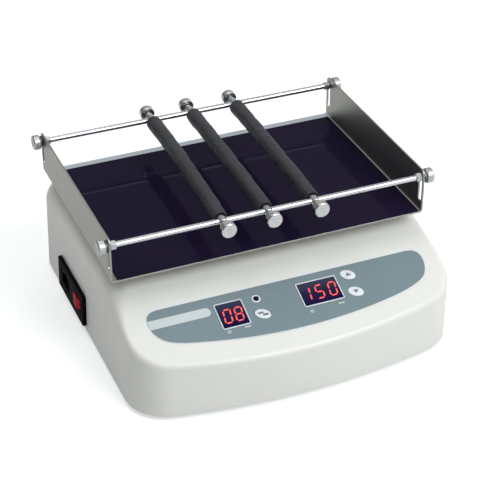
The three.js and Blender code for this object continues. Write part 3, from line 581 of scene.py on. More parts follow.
def half_outline():
    """Right half of the footprint, from the front's middle to the end of the back corner,
    as (x from the middle, y, outward normal x, outward normal y)."""
    mid_x = HALF_W - FRONT_CORNER
    lean = 0.2
    for _ in range(30):  # find where the corner meets the bowed front at one tangent
        lean = math.atan(2 * BOW * (mid_x + FRONT_CORNER * math.sin(lean)))
    end_x = mid_x + FRONT_CORNER * math.sin(lean)
    mid_y = FRONT_Y + BOW * end_x * end_x + FRONT_CORNER * math.cos(lean)
    points = []
    for i in range(31):
        x = end_x * i / 30
        angle = math.atan(2 * BOW * x)
        points.append((x, FRONT_Y + BOW * x * x, math.sin(angle), -math.cos(angle)))

    def add_corner(x, y, radius, angle):
        cos, sin = math.cos(angle), math.sin(angle)
        points.append((x + radius * cos, y + radius * sin, cos, sin))

    for i in range(1, 25):
        angle = (lean - math.pi / 2) + (math.pi / 2 - lean) * i / 24
        add_corner(mid_x, mid_y, FRONT_CORNER, angle)
    side_ys = [-105, -95, -85, -75, -66, -60] + [-56 + 2.2 * k for k in range(13)] + [-10, 40, 90]
    for y in side_ys:
        if y > mid_y + 1:
            points.append((HALF_W, y, 1.0, 0.0))
    for i in range(17):
        add_corner(HALF_W - BACK_CORNER, BACK_Y - BACK_CORNER, BACK_CORNER, (math.pi / 2) * i / 16)
    return points


def smooth01(x, start, end):
    t = max(0.0, min(1.0, (x - start) / (end - start)))
    return t * t * (3 - 2 * t)


def top_edge(side, facing, y):
    """Rounding, inward lean and crease angle where the footprint's normal is (side, facing)."""
    front = max(smooth01(-facing, 0.25, 0.95), 1 - smooth01(y, -110, -25))
    radius = 21.5 - 5.5 * side
    lean = math.tan(DRAFT if side < 0 else math.radians(0.3)) * side ** 2
    if facing > 0:
        lean += math.tan(math.radians(1.2)) * facing ** 2
    crease = math.radians(12) * max(0.0, -side) * (1 - front)
    return radius + (7.0 - radius) * front, lean, crease


def skin(inset, lower, foot_z, edge_less, steps):
    """One closed skin of the case: columns up the wall and round the top edge, capped by
    straight rungs. `edge_less` comes off the edge rounding."""
    mesh = bmesh.new()

    def column(x, y, nx, ny):
        edge, lean, crease = top_edge(nx, ny, y)
        x, y = x - nx * inset, y - ny * inset
        radius, mid_z = max(1.5, edge - edge_less), 80.0
        reach, rise = radius * math.cos(crease), radius * math.sin(crease)
        for _ in range(6):  # settle the rounding's centre under the top surface
            back = reach + lean * (mid_z + rise - EDGE_Z)
            mid_x, mid_y = x - nx * back, y - ny * back
            z, slope = top_at(mid_y, lower)
            top_normal = Vector((0, -slope, 1)).normalized()
            mid_z = z - radius / top_normal.z
        out = lean * (EDGE_Z - foot_z)
        foot_x, foot_y = x + nx * out, y + ny * out
        wall_normal = Vector((nx, ny, 0))
        axis = wall_normal.cross(top_normal).normalized()
        whole = wall_normal.angle(top_normal)
        halfway = ((foot_x + mid_x + nx * reach) / 2, (foot_y + mid_y + ny * reach) / 2,
                   (foot_z + mid_z + rise) / 2)
        points = [(foot_x, foot_y, foot_z), halfway]
        for k in range(steps + 1):
            turn = Matrix.Rotation(crease + (whole - crease) * k / steps, 3, axis)
            way = turn @ wall_normal
            points.append((mid_x + way.x * radius, mid_y + way.y * radius,
                           mid_z + way.z * radius))
        return [mesh.verts.new((CASE_X + p[0], p[1], p[2])) for p in points]

    def wall(a, b):
        for k in range(len(a) - 1):
            mesh.faces.new((a[k], b[k], b[k + 1], a[k + 1]))

    right, left = [], []
    for x, y, nx, ny in half_outline():
        right.append(column(x, y, nx, ny))
        left.append(right[-1] if abs(x) < 1e-6 else column(-x, y, -nx, ny))
    for a, b in zip(right, right[1:]):
        wall(a, b)
    for a, b in zip(left, left[1:]):
        wall(b, a)
    # the first column from which the whole rest of the top is flat
    first = next(i for i in range(len(right))
                 if all(abs(c[-1].co.z - TOP_Z + lower) < 1e-4 for c in right[i:] + left[i:]))
    for i in range(first):  # rungs across the sloping part
        a, b, c, d = right[i][-1], right[i + 1][-1], left[i + 1][-1], left[i][-1]
        mesh.faces.new((a, b, c) if a is d else (a, b, c, d))
    mesh.faces.new([c[-1] for c in right[first:]] + [c[-1] for c in reversed(left[first:])])
    wall(right[-1], left[-1])  # the straight back wall
    foot = [c[0] for c in right] + [c[0] for c in reversed(left[1:])]
    mesh.faces.new(list(reversed(foot)))
    return mesh


# Panel places are (x from the case's middle, y up the slope); z stands out of the slope.
PANEL = shift(CASE_X, SLOPE_Y, SLOPE_Z) @ spin(SLOPE, "X")
TIME_WINDOW = dict(w=29.9, h=30.6, x=-62.5, y=51.0)
SPEED_WINDOW = dict(w=44.1, h=29.3, x=33.45, y=53.0)
KEYS = {"set": (-32.8, 43.05), "up": (69.2, 64.2), "down": (69.1, 42.7)}
KEY_LONG, KEY_SHORT, KEY_TURN = 8.2, 5.6, -0.44  # half axes and turn of the oval keys
LAMP = (-32.8, 62.1)
GAP = 0.3  # round the film and whatever comes through it

# The overlay's right and left ends, both anticlockwise, as panel (x, y)
OVERLAY_RIGHT = [
    (126, 31.6), (137.75, 36), (144.6, 40), (148.4, 44), (151, 48), (152.8, 52), (154.4, 58),
    (154.75, 64), (154.25, 68), (152, 72.4), (147.4, 75.6), (141, 76.5)]
OVERLAY_LEFT = [
    (-134, 76.5), (-140, 75.6), (-144.6, 72.4), (-146.9, 68), (-147.5, 62), (-147.2, 57),
    (-146.1, 52), (-144.25, 48), (-141.75, 44), (-138, 40), (-132, 36), (-121.75, 32.2)]


def overlay_outline(grow=0.0):
    front = [(x, 17.2 + 0.00094 * (x - 5) ** 2) for x in [-108 + 222 * i / 14 for i in range(15)]]
    points = front + OVERLAY_RIGHT + OVERLAY_LEFT
    for _ in range(2):  # cut the corners twice, but leave the long back edge
        cut = []
        for i, a in enumerate(points):
            b = points[(i + 1) % len(points)]
            if math.hypot(b[0] - a[0], b[1] - a[1]) > 60:
                cut += [a, b]
                continue
            cut += [(0.75 * a[0] + 0.25 * b[0], 0.75 * a[1] + 0.25 * b[1]),
                    (0.25 * a[0] + 0.75 * b[0], 0.25 * a[1] + 0.75 * b[1])]
        points = [p for i, p in enumerate(cut)
                  if math.hypot(p[0] - cut[i - 1][0], p[1] - cut[i - 1][1]) > 0.05]
    return grown(points, grow)


def window_outline(window, grow, corner=1.4):
    return rect(window["w"] + 2 * grow, window["h"] + 2 * grow, corner,
                window["x"], window["y"], 4)


def panel_openings():
    windows = [window_outline(window, GAP) for window in (TIME_WINDOW, SPEED_WINDOW)]
    keys = [oval(KEY_LONG + GAP, KEY_SHORT + GAP, x, y, KEY_TURN) for x, y in KEYS.values()]
    return windows + [circle(5.0, 32, *LAMP)] + keys


# The inlet's outlines are (y, z) on the left wall and are pushed along X.
INLET_Y, INLET_Z, INLET_W, INLET_H = 51.9, 29.5, 88.0, 37.0
ROCKER_Y, ROCKER_Z = 27.4, 31.0
SOCKET_Y, SOCKET_Z = 70.4, 29.5
LEANING = shift(WALL_X, 0, EDGE_Z) @ spin(DRAFT, "Y") @ shift(-WALL_X, 0, -EDGE_Z)
INWARD = LEANING @ YZ


def case_shell():
    outer = skin(inset=0, lower=0, foot_z=EDGE_Z, edge_less=0, steps=12)
    inner = skin(inset=3, lower=3, foot_z=EDGE_Z - 10, edge_less=2.5, steps=3)
    cutters = [inner, prism(circle(32, 64, SHAFT.x, SHAFT.y), 95, 125)]
    cutters += [prism(circle(22, 48, p.x, p.y), 95, 125) for p in IDLERS.values()]
    cutters.append(prism(overlay_outline(GAP), -0.8, 6, PANEL))
    cutters += [prism(outline, -8, 7, PANEL) for outline in panel_openings()]
    inlet_hole = rect(INLET_W - 6, INLET_H - 6, 2, INLET_Y, INLET_Z)
    cutters.append(prism(inlet_hole, CASE_X - 190, CASE_X - 165, INWARD))
    piece("case_shell_skin", carve(outer, *cutters), "moulded_shell", cad="case_shell",
          sharp=30, bevel=0.3)


# ------------------------------------------------------------------ base plate and feet
BASE_LO, BASE_HI = box_mm("base_plate")
BASE_INSET = 3.6  # from the case's outline


def base_plate():
    half = [(x - nx * BASE_INSET, y - ny * BASE_INSET) for x, y, nx, ny in half_outline()]
    outline = [(CASE_X + x, y) for x, y in half]
    outline += [(CASE_X - x, y) for x, y in reversed(half[1:])]
    vents = [rect(6, 44, 2.9, CASE_X - 32 + 16 * i, -95) for i in range(5)]
    mesh = plate([outline] + vents, BASE_LO.z, BASE_HI.z, edge=0.25)
    piece("base_plate_sheet", mesh, "plated_sheet", cad="base_plate")


def base_screws():
    """Slotted heads under the base plate."""
    head = [(0, -1.7), (1.3, -1.7), (2.6, -1.2), (3.1, 0.0), (3.1, 0.02), (0, 0.02)]
    slot = [(-1.9, -0.35), (1.9, -0.35), (1.9, 0.35), (-1.9, 0.35)]
    for i, (x, y) in enumerate(((-150, 100), (150, 100), (-148, -100), (148, -100))):
        x += CASE_X
        mesh = lathe(head, 28, corner=0.25, matrix=shift(x, y, BASE_LO.z - 0.03))
        mesh = carve(mesh, prism(slot, -3, -0.9, shift(x, y, BASE_LO.z)))
        piece("base_screw_%d" % (i + 1), mesh, "turned_steel")


def feet():
    rubber = [(4, 3), (4, 0, 0.4), (10, 0, 0.8), (11, 1, 0.6), (12, 7.97, 0.4), (2.5, 7.97),
              (2.5, 3)]
    screw = [(0, 3.15), (1.9, 3.15), (2.3, 3.45), (2.3, 6.35), (0, 6.35)]
    for name in ("front_left", "front_right", "back_left", "back_right"):
        foot = mid("foot_" + name)
        place = shift(foot.x, foot.y)
        mesh = lathe(rubber, 56, corner=0.3, steps=3, matrix=place)
        piece("rubber_foot_" + name, mesh, "foot_rubber", cad="foot_" + name)
        piece("foot_screw_" + name, lathe(screw, 24, matrix=place), "turned_steel")


# ------------------------------------------------------------------ control panel
FILM_TOP = 0.2
DIGIT_W, DIGIT_H, DIGIT_BAR, DIGIT_SLANT = 7.3, 15.4, 1.6, 0.12
DIGIT_GAP = 0.6  # cut from each end of a bar
DIGIT_MARGIN = 4.6  # from the last figure to the window's right side
SEGMENTS = {"0": "abcdef", "1": "bc", "5": "afgcd", "8": "abcdefg"}


def overlay():
    mesh = plate([overlay_outline()] + panel_openings(), -0.5, FILM_TOP, edge=0.1, matrix=PANEL)
    piece("panel_overlay_film", mesh, "printed_overlay", cad="panel_overlay")
    # painted highlight: a pale line round the film's rim stands in for the light its edge catches
    mesh = plate([overlay_outline(0.28), overlay_outline(-0.5)], FILM_TOP, 0.32, edge=0.04,
                 matrix=PANEL)
    piece("overlay_rim_painted_highlight", mesh, "white_print_and_rim_highlight")


def label_strip():
    """Blank strip at the panel's left, square at its left end and round at its right."""
    x0, x1, y0, y1 = -146.4, -82.1, 55.0, 65.3
    radius = (y1 - y0) / 2
    end = arc(x1 - radius, (y0 + y1) / 2, radius, -math.pi / 2, math.pi / 2, 14)
    mesh = plate([[(x0, y0)] + end + [(x0, y1)]], FILM_TOP, 0.34, edge=0.05, matrix=PANEL)
    piece("label_strip", mesh, "blank_label")


def digits(name, text, window, pitch, drop):
    """Seven-segment figures as thin raised bars; `drop` lowers them from the middle."""
    mesh = bmesh.new()
    w, h = DIGIT_W / 2, DIGIT_H / 2
    ends = {"a": ((-w, h), (w, h)), "d": ((-w, -h), (w, -h)), "g": ((-w, 0), (w, 0)),
            "f": ((-w, 0), (-w, h)), "b": ((w, 0), (w, h)), "e": ((-w, -h), (-w, 0)),
            "c": ((w, -h), (w, 0))}
    right = window["x"] + window["w"] / 2 - DIGIT_MARGIN
    y = window["y"] - drop
    for i, figure in enumerate(reversed(text)):
        x = right - i * pitch - DIGIT_W / 2
        for segment in SEGMENTS[figure]:
            a, b = (Vector(end) for end in ends[segment])
            way = (b - a).normalized()
            across = Vector((-way.y, way.x)) * DIGIT_BAR / 2
            along = way * DIGIT_BAR / 2
            a, b = a + way * DIGIT_GAP, b - way * DIGIT_GAP
            six = [a, a + along - across, b - along - across,
                   b, b - along + across, a + along + across]
            prism([(x + p.x + DIGIT_SLANT * p.y, y + p.y) for p in six], 0.62, 0.72, PANEL, mesh)
    piece(name, mesh, "lit_segment")


def displays():
    for tag, window in (("time", TIME_WINDOW), ("speed", SPEED_WINDOW)):
        frame = [window_outline(window, 0.0, 1.6), window_outline(window, -1.15, 0.8)]
        mesh = plate(frame, -1.5, 0.75, edge=0.2, matrix=PANEL)
        piece("display_frame_" + tag, mesh, "white_print_and_rim_highlight")
        mesh = plate([window_outline(window, -1.25, 0.7)], -8, 0.6, edge=0.12, matrix=PANEL)
        piece("display_window_" + tag, mesh, "display_window", cad="display_" + tag)
    digits("digits_time", "08", TIME_WINDOW, pitch=11.9, drop=1.3)
    digits("digits_speed", "150", SPEED_WINDOW, pitch=14.2, drop=0.4)


def window_marks():
    """Below each window, a small ring at the left and three small squares at the right."""
    for tag, x, y in (("time", -72.5, 32.3), ("speed", 16.5, 32.6)):
        mesh = plate([circle(1.7, 24, x, y), circle(1.05, 24, x, y)], FILM_TOP, 0.3,
                     edge=0.03, matrix=PANEL)
        piece("ring_mark_" + tag, mesh, "white_print_and_rim_highlight")
    for tag, x, y in (("time", -52.5, 33.3), ("speed", 49.5, 33.9)):
        mesh = bmesh.new()
        for k in range(3):
            plate([rect(1.5, 1.6, 0.4, x - 2.2 + 2.2 * k, y)], FILM_TOP, 0.3,
                  edge=0.03, matrix=PANEL, mesh=mesh)
        piece("bar_mark_" + tag, mesh, "white_print_and_rim_highlight")


# Oval rings of a key from its crown down to its stem: half long axis, half short axis, z
KEY_RINGS = [
    (0, 0, 1.25), (3.6, 2.4, 1.22), (6.2, 4.2, 1.1), (7.4, 5.0, 0.95), (8.0, 5.45, 0.7),
    (KEY_LONG, KEY_SHORT, 0.35), (KEY_LONG, KEY_SHORT, -3.6), (9.4, 6.8, -3.7),
    (9.5, 6.9, -3.8), (9.5, 6.9, -4.7), (9.4, 6.8, -4.8), (2.0, 2.0, -4.8), (2.0, 2.0, -7.0),
    (1.8, 1.8, -7.1), (0, 0, -7.1)]


def key_mark(name, x, y):
    """Two overlapping bars on the set key, a triangle on the others."""
    if name == "set":
        mesh = bmesh.new()
        for bar_x, bar_y in ((x - 1.9, y + 1.2), (x + 2.3, y - 1.6)):
            plate([rect(6.2, 2.6, 1.2, bar_x, bar_y)], 0.95, 1.26, edge=0.05,
                  matrix=PANEL, mesh=mesh)
        return mesh
    way = 1 if name == "up" else -1
    triangle = [(x - 3.2, y - 1.9 * way), (x + 3.2, y - 1.9 * way), (x, y + 2.6 * way)]
    if way < 0:
        triangle.reverse()
    return plate([rounded(triangle, 0.4, steps=3)], 1.1, 1.36, edge=0.05, matrix=PANEL)


def keys():
    for name, (x, y) in KEYS.items():
        mesh = bmesh.new()
        rings = []
        for half_long, half_short, z in KEY_RINGS:
            flat = oval(half_long, half_short, x, y, KEY_TURN, 64) if half_long else [(x, y)]
            rings.append([mesh.verts.new((*p, z)) for p in flat])
        bridge(mesh, rings)
        bmesh.ops.transform(mesh, matrix=PANEL, verts=mesh.verts[:])
        body = "button_" + name
        piece("cap_key_" + name, mesh, "key_cap", body, "key_" + name)
        piece("mark_key_" + name, key_mark(name, x, y), "grey_print", body)


def lamp():
    place = PANEL @ shift(*LAMP)
    ring = [(3.1, -3.4), (4.7, -3.4), (4.7, 0.4), (4.2, 0.8), (3.1, 0.8)]
    dome = [(0, -7), (2.75, -7), (2.75, 0.3), (2.0, 0.85), (0, 1.1)]
    mesh = lathe(ring, 48, corner=0.2, steps=3, matrix=place)
    piece("lamp_ring", mesh, "white_print_and_rim_highlight", cad="lamp_bezel")
    piece("lamp_dome", lathe(dome, 40, corner=0.35, matrix=place), "lamp_lens", cad="lamp_lens")


def control_board():
    """The board under the panel, with blocks on its lower face."""
    low, high = -9.9, -8.3
    holes = [circle(1.7, 20, sx * 80, 52 + sy * 23) for sx, sy in CORNERS]
    mesh = plate([rect(170, 56, 3, 0, 52)] + holes, low, high, edge=0.1, matrix=PANEL)
    piece("control_board_laminate", mesh, "board_laminate", cad="control_board")
    # x, y, width, height, thickness
    chips = ((0, 40, 16, 10, 2.0), (-10, 62, 9, 9, 1.6), (62, 30, 20, 6, 2.0),
             (-66, 30, 14, 6, 2.0), (26, 34, 7, 7, 1.4), (-46, 30, 6, 8, 1.6))
    mesh = bmesh.new()
    for x, y, width, height, thick in chips:
        plate([rect(width, height, 0.5, x, y, 3)], low - thick, low - 0.02, edge=0.2,
              matrix=PANEL, mesh=mesh)
    piece("board_chips", mesh, "black_plastic")


# ------------------------------------------------------------------ power inlet
INLET_FACE = WALL_X - 4.03


def inlet_surround():
    face = INLET_FACE
    mesh = plate([rect(INLET_W, INLET_H, 2.5, INLET_Y, INLET_Z, 8)], face, WALL_X - 0.03,
                 edge=0.8, steps=4, matrix=INWARD)
    rear = prism(rect(80, 29, 2, INLET_Y, INLET_Z, 4), face + 2, WALL_X + 28, INWARD)
    mesh = carve(mesh, rear, mode="UNION")
    rocker_well = rect(28.4, 15.7, 1.0, ROCKER_Y, ROCKER_Z, 4)
    socket_well = rect(28.0, 20.8, 0.6, SOCKET_Y, SOCKET_Z, 3)
    mesh = carve(mesh, prism(rocker_well, face - 2, WALL_X + 14, INWARD),
                 prism(socket_well, face - 2, WALL_X + 22, INWARD))
    # a shallow groove that frames the two openings
    groove = [rect(84, 31, 2.6, INLET_Y, INLET_Z), rect(82.8, 29.8, 2.0, INLET_Y, INLET_Z)]
    mesh = carve(mesh, plate(groove, face - 1, face + 0.35, matrix=INWARD))
    piece("inlet_surround", mesh, "black_plastic", cad="inlet_plate", bevel=0.25)


def power_socket():
    """A shroud with its two upper corners cut, a deep well and three blades."""
    w, h = 13.8, 10.2
    outer = [(-w, -h), (w, -h), (w, h - 6), (w - 5, h), (-w + 5, h), (-w, h - 6)]
    inner = [(-w + 2, -h + 2), (w - 2, -h + 2), (w - 2, h - 7), (w - 6, h - 2),
             (-w + 6, h - 2), (-w + 2, h - 7)]

    def outline(points, radius):
        return rounded([(SOCKET_Y + y, SOCKET_Z + z) for y, z in points], radius)

    mesh = carve(prism(outline(outer, 0.8), INLET_FACE + 0.6, WALL_X + 21.9, INWARD),
                 prism(outline(inner, 0.9), INLET_FACE - 2, WALL_X + 16, INWARD))
    piece("socket_shroud", mesh, "black_gloss", cad="power_socket", bevel=0.3, bevel_angle=40)
    mesh = bmesh.new()
    for y, z in ((0, 3.4), (-7, -2.4), (7, -2.4)):
        plate([rect(2, 5, 0.5, SOCKET_Y + y, SOCKET_Z + z, 3)], WALL_X + 2, WALL_X + 16.1,
              edge=0.45, matrix=INWARD, mesh=mesh)
    piece("socket_blades", mesh, "turned_x")


def power_rocker():
    frame = [rect(28.2, 15.5, 0.9, ROCKER_Y, ROCKER_Z, 4),
             rect(23.4, 13.6, 0.8, ROCKER_Y, ROCKER_Z, 4)]
    mesh = plate(frame, INLET_FACE - 0.3, WALL_X + 3.0, edge=0.3, matrix=INWARD)
    piece("rocker_frame", mesh, "black_plastic")
    # the cap tilts in its frame; its outline is (x, y) and is pushed along Z
    half_l, half_h = 11.2, 6.5
    outline = [(8, -3), (5, -half_l + 1.6), (-3.2, -half_l), (-4.4, -half_l / 2), (-5.6, -1.5),
               (-5.6, 1.5), (-4.4, half_l / 2), (-3.2, half_l), (5, half_l - 1.6), (8, 3)]
    place = LEANING @ shift(WALL_X - 0.4, ROCKER_Y, ROCKER_Z) @ spin(math.radians(9), "Z")
    mesh = prism(rounded(outline, 0.6, steps=3), -half_h, half_h, place)
    piece("rocker_cap", mesh, "rocker_red", "power_rocker", "rocker", bevel=0.6,
          bevel_segments=3)
    # raised marks: a bar on the back end and a ring on the front end
    slope = math.atan2(5.6 - 3.2, half_l - 1.5)
    marks = ((1, [rect(1.0, 3.6, 0.4, 0, 0, 3)]), (-1, [circle(1.7, 28), circle(1.2, 28)]))
    mesh = bmesh.new()
    for side, outlines in marks:
        mark_y = side * (half_l / 2 + 1.1)
        on_face = place @ (shift(-4.42, mark_y) @ spin(-side * slope, "Z") @ YZ)
        plate(outlines, -0.2, 0.12, edge=0.08, matrix=on_face, mesh=mesh)
    piece("rocker_marks", mesh, "rocker_mark", "power_rocker")


def power_supply():
    low, high = box_mm("power_supply")
    x, y, _ = (low + high) / 2
    mesh = plate([rect(84, 54, 2, x, y)], low.z, low.z + 2.2, edge=0.4)
    piece("supply_tray", mesh, "plated_sheet")
    cover = prism(rect(76, 50, 2, x, y), low.z + 2.25, high.z)
    slots = [prism(rect(3, 30, 1.4, x - 27 + 9 * i, y), high.z - 6, high.z + 1)
             for i in range(7)]
    piece("supply_cover", carve(cover, *slots), "motor_paint", cad="power_supply", bevel=0.6)


# ------------------------------------------------------------------ drive
# Lathe profiles are (radius, z[, corner radius]).
SEAT_Z = 10.03  # foot of the pieces that stand on the base plate
MAIN_GROOVE_R, MOTOR_GROOVE_R = 36, 12
AT_MOTOR = shift(MOTOR.x, MOTOR.y)
AT_SHAFT = shift(SHAFT.x, SHAFT.y)


def motor():
    base, foot = SEAT_Z, SEAT_Z + 3
    channel = [(-43, base), (-28, base), (-28, foot), (-37, foot), (-37, 71), (37, 71),
               (37, foot), (28, foot), (28, base), (43, base), (43, foot), (40, foot),
               (40, 74), (-40, 74), (-40, foot), (-43, foot)]
    mesh = prism([(MOTOR.x + x, z) for x, z in channel], MOTOR.y - 34, MOTOR.y + 34, XZ)
    mesh = carve(mesh, prism(circle(9, 48, MOTOR.x, MOTOR.y), 60, 80),
                 *[prism(circle(2.2, 20, MOTOR.x + sx * 24, MOTOR.y + sy * 24), 60, 80)
                   for sx, sy in CORNERS])
    piece("motor_channel", mesh, "plated_sheet", cad="motor_bracket", bevel=0.8)
    can = [(0, 22), (27, 22, 2), (30, 25, 2), (30, 30, 0), (29.2, 30.6, 0), (29.2, 31.8, 0),
           (30, 32.4, 0), (30, 60, 0), (29.2, 60.6, 0), (29.2, 61.8, 0), (30, 62.4, 0),
           (30, 67, 2), (28, 70.9, 1), (8, 70.9), (8, 72.5), (4.14, 72.5), (4.14, 55), (0, 55)]
    mesh = lathe(can, 72, corner=0.4, steps=3, matrix=AT_MOTOR)
    piece("motor_can", mesh, "motor_paint", cad="motor")
    rim, groove = 14, MOTOR_GROOVE_R
    pulley = [(0, 56), (4, 56), (4, 75), (rim, 75), (rim, 77.3), (groove, 77.6), (groove, 87),
              (rim, 87.3), (rim, 89.4), (5, 89.4), (4.5, 91), (0, 91)]
    mesh = lathe(pulley, 64, corner=0.35, steps=3, matrix=AT_MOTOR)
    # a small notch in the upper flange's right edge
    notch = shift(MOTOR.x + 14.5, MOTOR.y, 88.35) @ spin(math.pi / 2, "Y")
    notch = notch @ Matrix.Diagonal((0.5, 0.5, 0.08, 1))
    mesh = carve(mesh, prism(circle(1.5, 20), -16, 16, notch))
    piece("motor_pulley_turned", mesh, "turned_alu", "motor_rotor", "motor_pulley")


def belt_outline(lift):
    """A loop that runs `lift` above both pulleys' grooves."""
    reach = Vector((MOTOR.x - SHAFT.x, MOTOR.y - SHAFT.y))
    main_r, motor_r = MAIN_GROOVE_R + lift, MOTOR_GROOVE_R + lift
    toward = math.atan2(reach.y, reach.x)
    spread = math.acos((main_r - motor_r) / reach.length)
    round_main = arc(SHAFT.x, SHAFT.y, main_r, toward + spread, toward - spread + TAU, 60)
    return round_main + arc(MOTOR.x, MOTOR.y, motor_r, toward - spread, toward + spread, 30)


def main_bearing():
    tower = [(9, SEAT_Z), (36, SEAT_Z, 1.5), (36, 15, 1), (22, 18, 5), (22, 70, 1), (16.1, 70),
             (16.1, 48, 0.4), (9, 48)]
    bolts = arc(SHAFT.x, SHAFT.y, 30, math.pi / 4, 7 * math.pi / 4, 3)
    mesh = carve(lathe(tower, 80, corner=0.5, matrix=AT_SHAFT),
                 *[prism(circle(2.6, 20, x, y), SEAT_Z - 3, 20) for x, y in bolts])
    piece("bearing_tower", mesh, "turned_alu", cad="bearing_housing")
    mesh = tube(13.2, 16, 48.1, 69.2, 0.6, 3, 72, AT_SHAFT)
    piece("bearing_outer_ring", mesh, "turned_steel", cad="main_bearing")
    piece("bearing_inner_ring", tube(6.1, 9.0, 48.1, 69.2, 0.5, 3, 64, AT_SHAFT), "turned_steel")
    mesh = tube(9.15, 13.05, 67.6, 68.4, 0.2, 2, 64, AT_SHAFT)
    tube(9.15, 13.05, 48.9, 49.7, 0.2, 2, 64, AT_SHAFT, mesh)
    piece("bearing_shields", mesh, "belt_rubber")


def main_crank():
    """Shaft with its offset pin, pulley and counterweight."""
    body = "main_crank"
    shaft = [(0, 20), (5.2, 20), (6, 20.8), (6, 98, 0.6), (20, 98, 0.8), (20, 106, 0.8), (0, 106)]
    pin = [(0, 105), (5, 105), (5, 117.2), (4.2, 118), (0, 118)]
    mesh = carve(lathe(shaft, 64, corner=0.4, steps=3, matrix=AT_SHAFT),
                 lathe(pin, corner=0.2, steps=2, matrix=shift(TRAY_X, TRAY_Y)), mode="UNION")
    piece("crank_shaft", mesh, "turned_steel", body, "main_shaft")
    rim, groove = 38, MAIN_GROOVE_R
    pulley = [(6.05, 75), (rim, 75), (rim, 77.3), (groove, 77.6), (groove, 87), (rim, 87.3),
              (rim, 88.5), (14, 88.5, 1.2), (14, 89.5), (6.05, 89.5)]
    holes = circle(24.5, 5, SHAFT.x, SHAFT.y)
    mesh = carve(lathe(pulley, 96, corner=0.35, steps=3, matrix=AT_SHAFT),
                 *[prism(circle(6, 36, x, y), 70, 95) for x, y in holes])
    piece("crank_pulley", mesh, "turned_alu", body, "main_pulley")
    away = math.atan2(-THROW_Y, -THROW_X)  # the weight lies opposite the pin
    outline = arc(SHAFT.x, SHAFT.y, 43, away - 1.15, away + 1.15, 40)
    outline += arc(SHAFT.x, SHAFT.y, 13, away + 1.75, away - 1.75 + TAU, 30)
    mesh = plate([outline, circle(6.06, 48, SHAFT.x, SHAFT.y)], 90, 97.5, edge=0.4)
    piece("balance_weight", mesh, "turned_steel", body, "counterweight")


def idlers():
    tower = [(0, SEAT_Z), (18, SEAT_Z, 1), (18, 14, 1), (9, 17, 4), (9, 56, 3), (12, 60, 2),
             (12, 93, 0.8), (5.12, 93), (5.12, 58), (0, 58)]
    crank = [(0, 60), (4.5, 60), (5, 60.5), (5, 96, 0.5), (15, 96, 0.8), (15, 104, 0.8), (0, 104)]
    pin = [(0, 103), (4, 103), (4, 117.3), (3.3, 118), (0, 118)]
    for name, post in IDLERS.items():
        place = shift(post.x, post.y)
        pin_place = shift(post.x + THROW_X, post.y + THROW_Y)
        mesh = lathe(tower, 64, corner=0.4, matrix=place)
        piece("idler_tower_" + name, mesh, "turned_alu", cad="idler_post_" + name)
        mesh = carve(lathe(crank, 56, corner=0.2, steps=3, matrix=place),
                     lathe(pin, 40, corner=0.2, steps=2, matrix=pin_place), mode="UNION")
        piece("idler_throw_" + name, mesh, "turned_steel", "idler_" + name,
              "idler_crank_" + name)


def drive():
    motor()
    mesh = plate([belt_outline(2.4), belt_outline(0.6)], 78.4, 86.4, edge=0.3)
    piece("drive_belt", mesh, "belt_rubber", cad="belt")
    main_bearing()
    main_crank()
    idlers()


# ------------------------------------------------------------------ platform
PINS = {k: (p.x - SHAFT.x + TRAY_X, p.y - SHAFT.y + TRAY_Y) for k, p in IDLERS.items()}
SHEET, BEND_R = 1.8, 3.8  # the tray's sheet thickness and outer bend radius
SLOT_W = 6.8


def carrier():
    def disc(radius, count, x, y, low, high):
        return prism(circle(radius, count, x, y), TRAY_Z + low, TRAY_Z + high)

    def disc_set(hub_r, hub_count, pin_r, low, high):
        discs = [disc(hub_r, hub_count, TRAY_X, TRAY_Y, low, high)]
        return discs + [disc(pin_r, 48, x, y, low, high) for x, y in PINS.values()]

    mesh = prism(rect(292, 196, 16, TRAY_X, TRAY_Y + 10, 8), TRAY_Z - 3.1, TRAY_Z - 0.03)
    windows = [prism(rect(46, 110, 10, TRAY_X + side * 62, TRAY_Y + 6), TRAY_Z - 6, TRAY_Z + 2)
               for side in (-1, 1)]
    mesh = carve(mesh, *disc_set(15, 64, 11.5, -9.5, -2), mode="UNION")
    mesh = carve(mesh, *disc_set(11.06, 56, 8.06, -12, 2), *windows)
    piece("carrier_plate", mesh, "turned_alu", "platform", "carrier", bevel=0.5)


def platform_bearings():
    body = "platform"
    place = shift(TRAY_X, TRAY_Y, TRAY_Z)
    mesh = tube(9.0, 10.8, -9, -0.5, 0.4, 3, 56, place)
    piece("hub_bearing_outer", mesh, "turned_steel", body, "platform_bearing")
    mesh = tube(5.09, 7.0, -9, -0.5, 0.4, 3, 48, place)
    piece("hub_bearing_inner", mesh, "turned_steel", body)
    mesh = tube(7.1, 8.9, -8.4, -7.8, 0.15, 2, 48, place)
    piece("hub_bearing_shield", mesh, "belt_rubber", body)
    for name, (x, y) in PINS.items():
        mesh = tube(4.1, 7.9, -9, -0.5, 0.5, 3, 48, shift(x, y, TRAY_Z))
        piece("bush_" + name, mesh, "turned_z", body, "idler_bush_" + name)


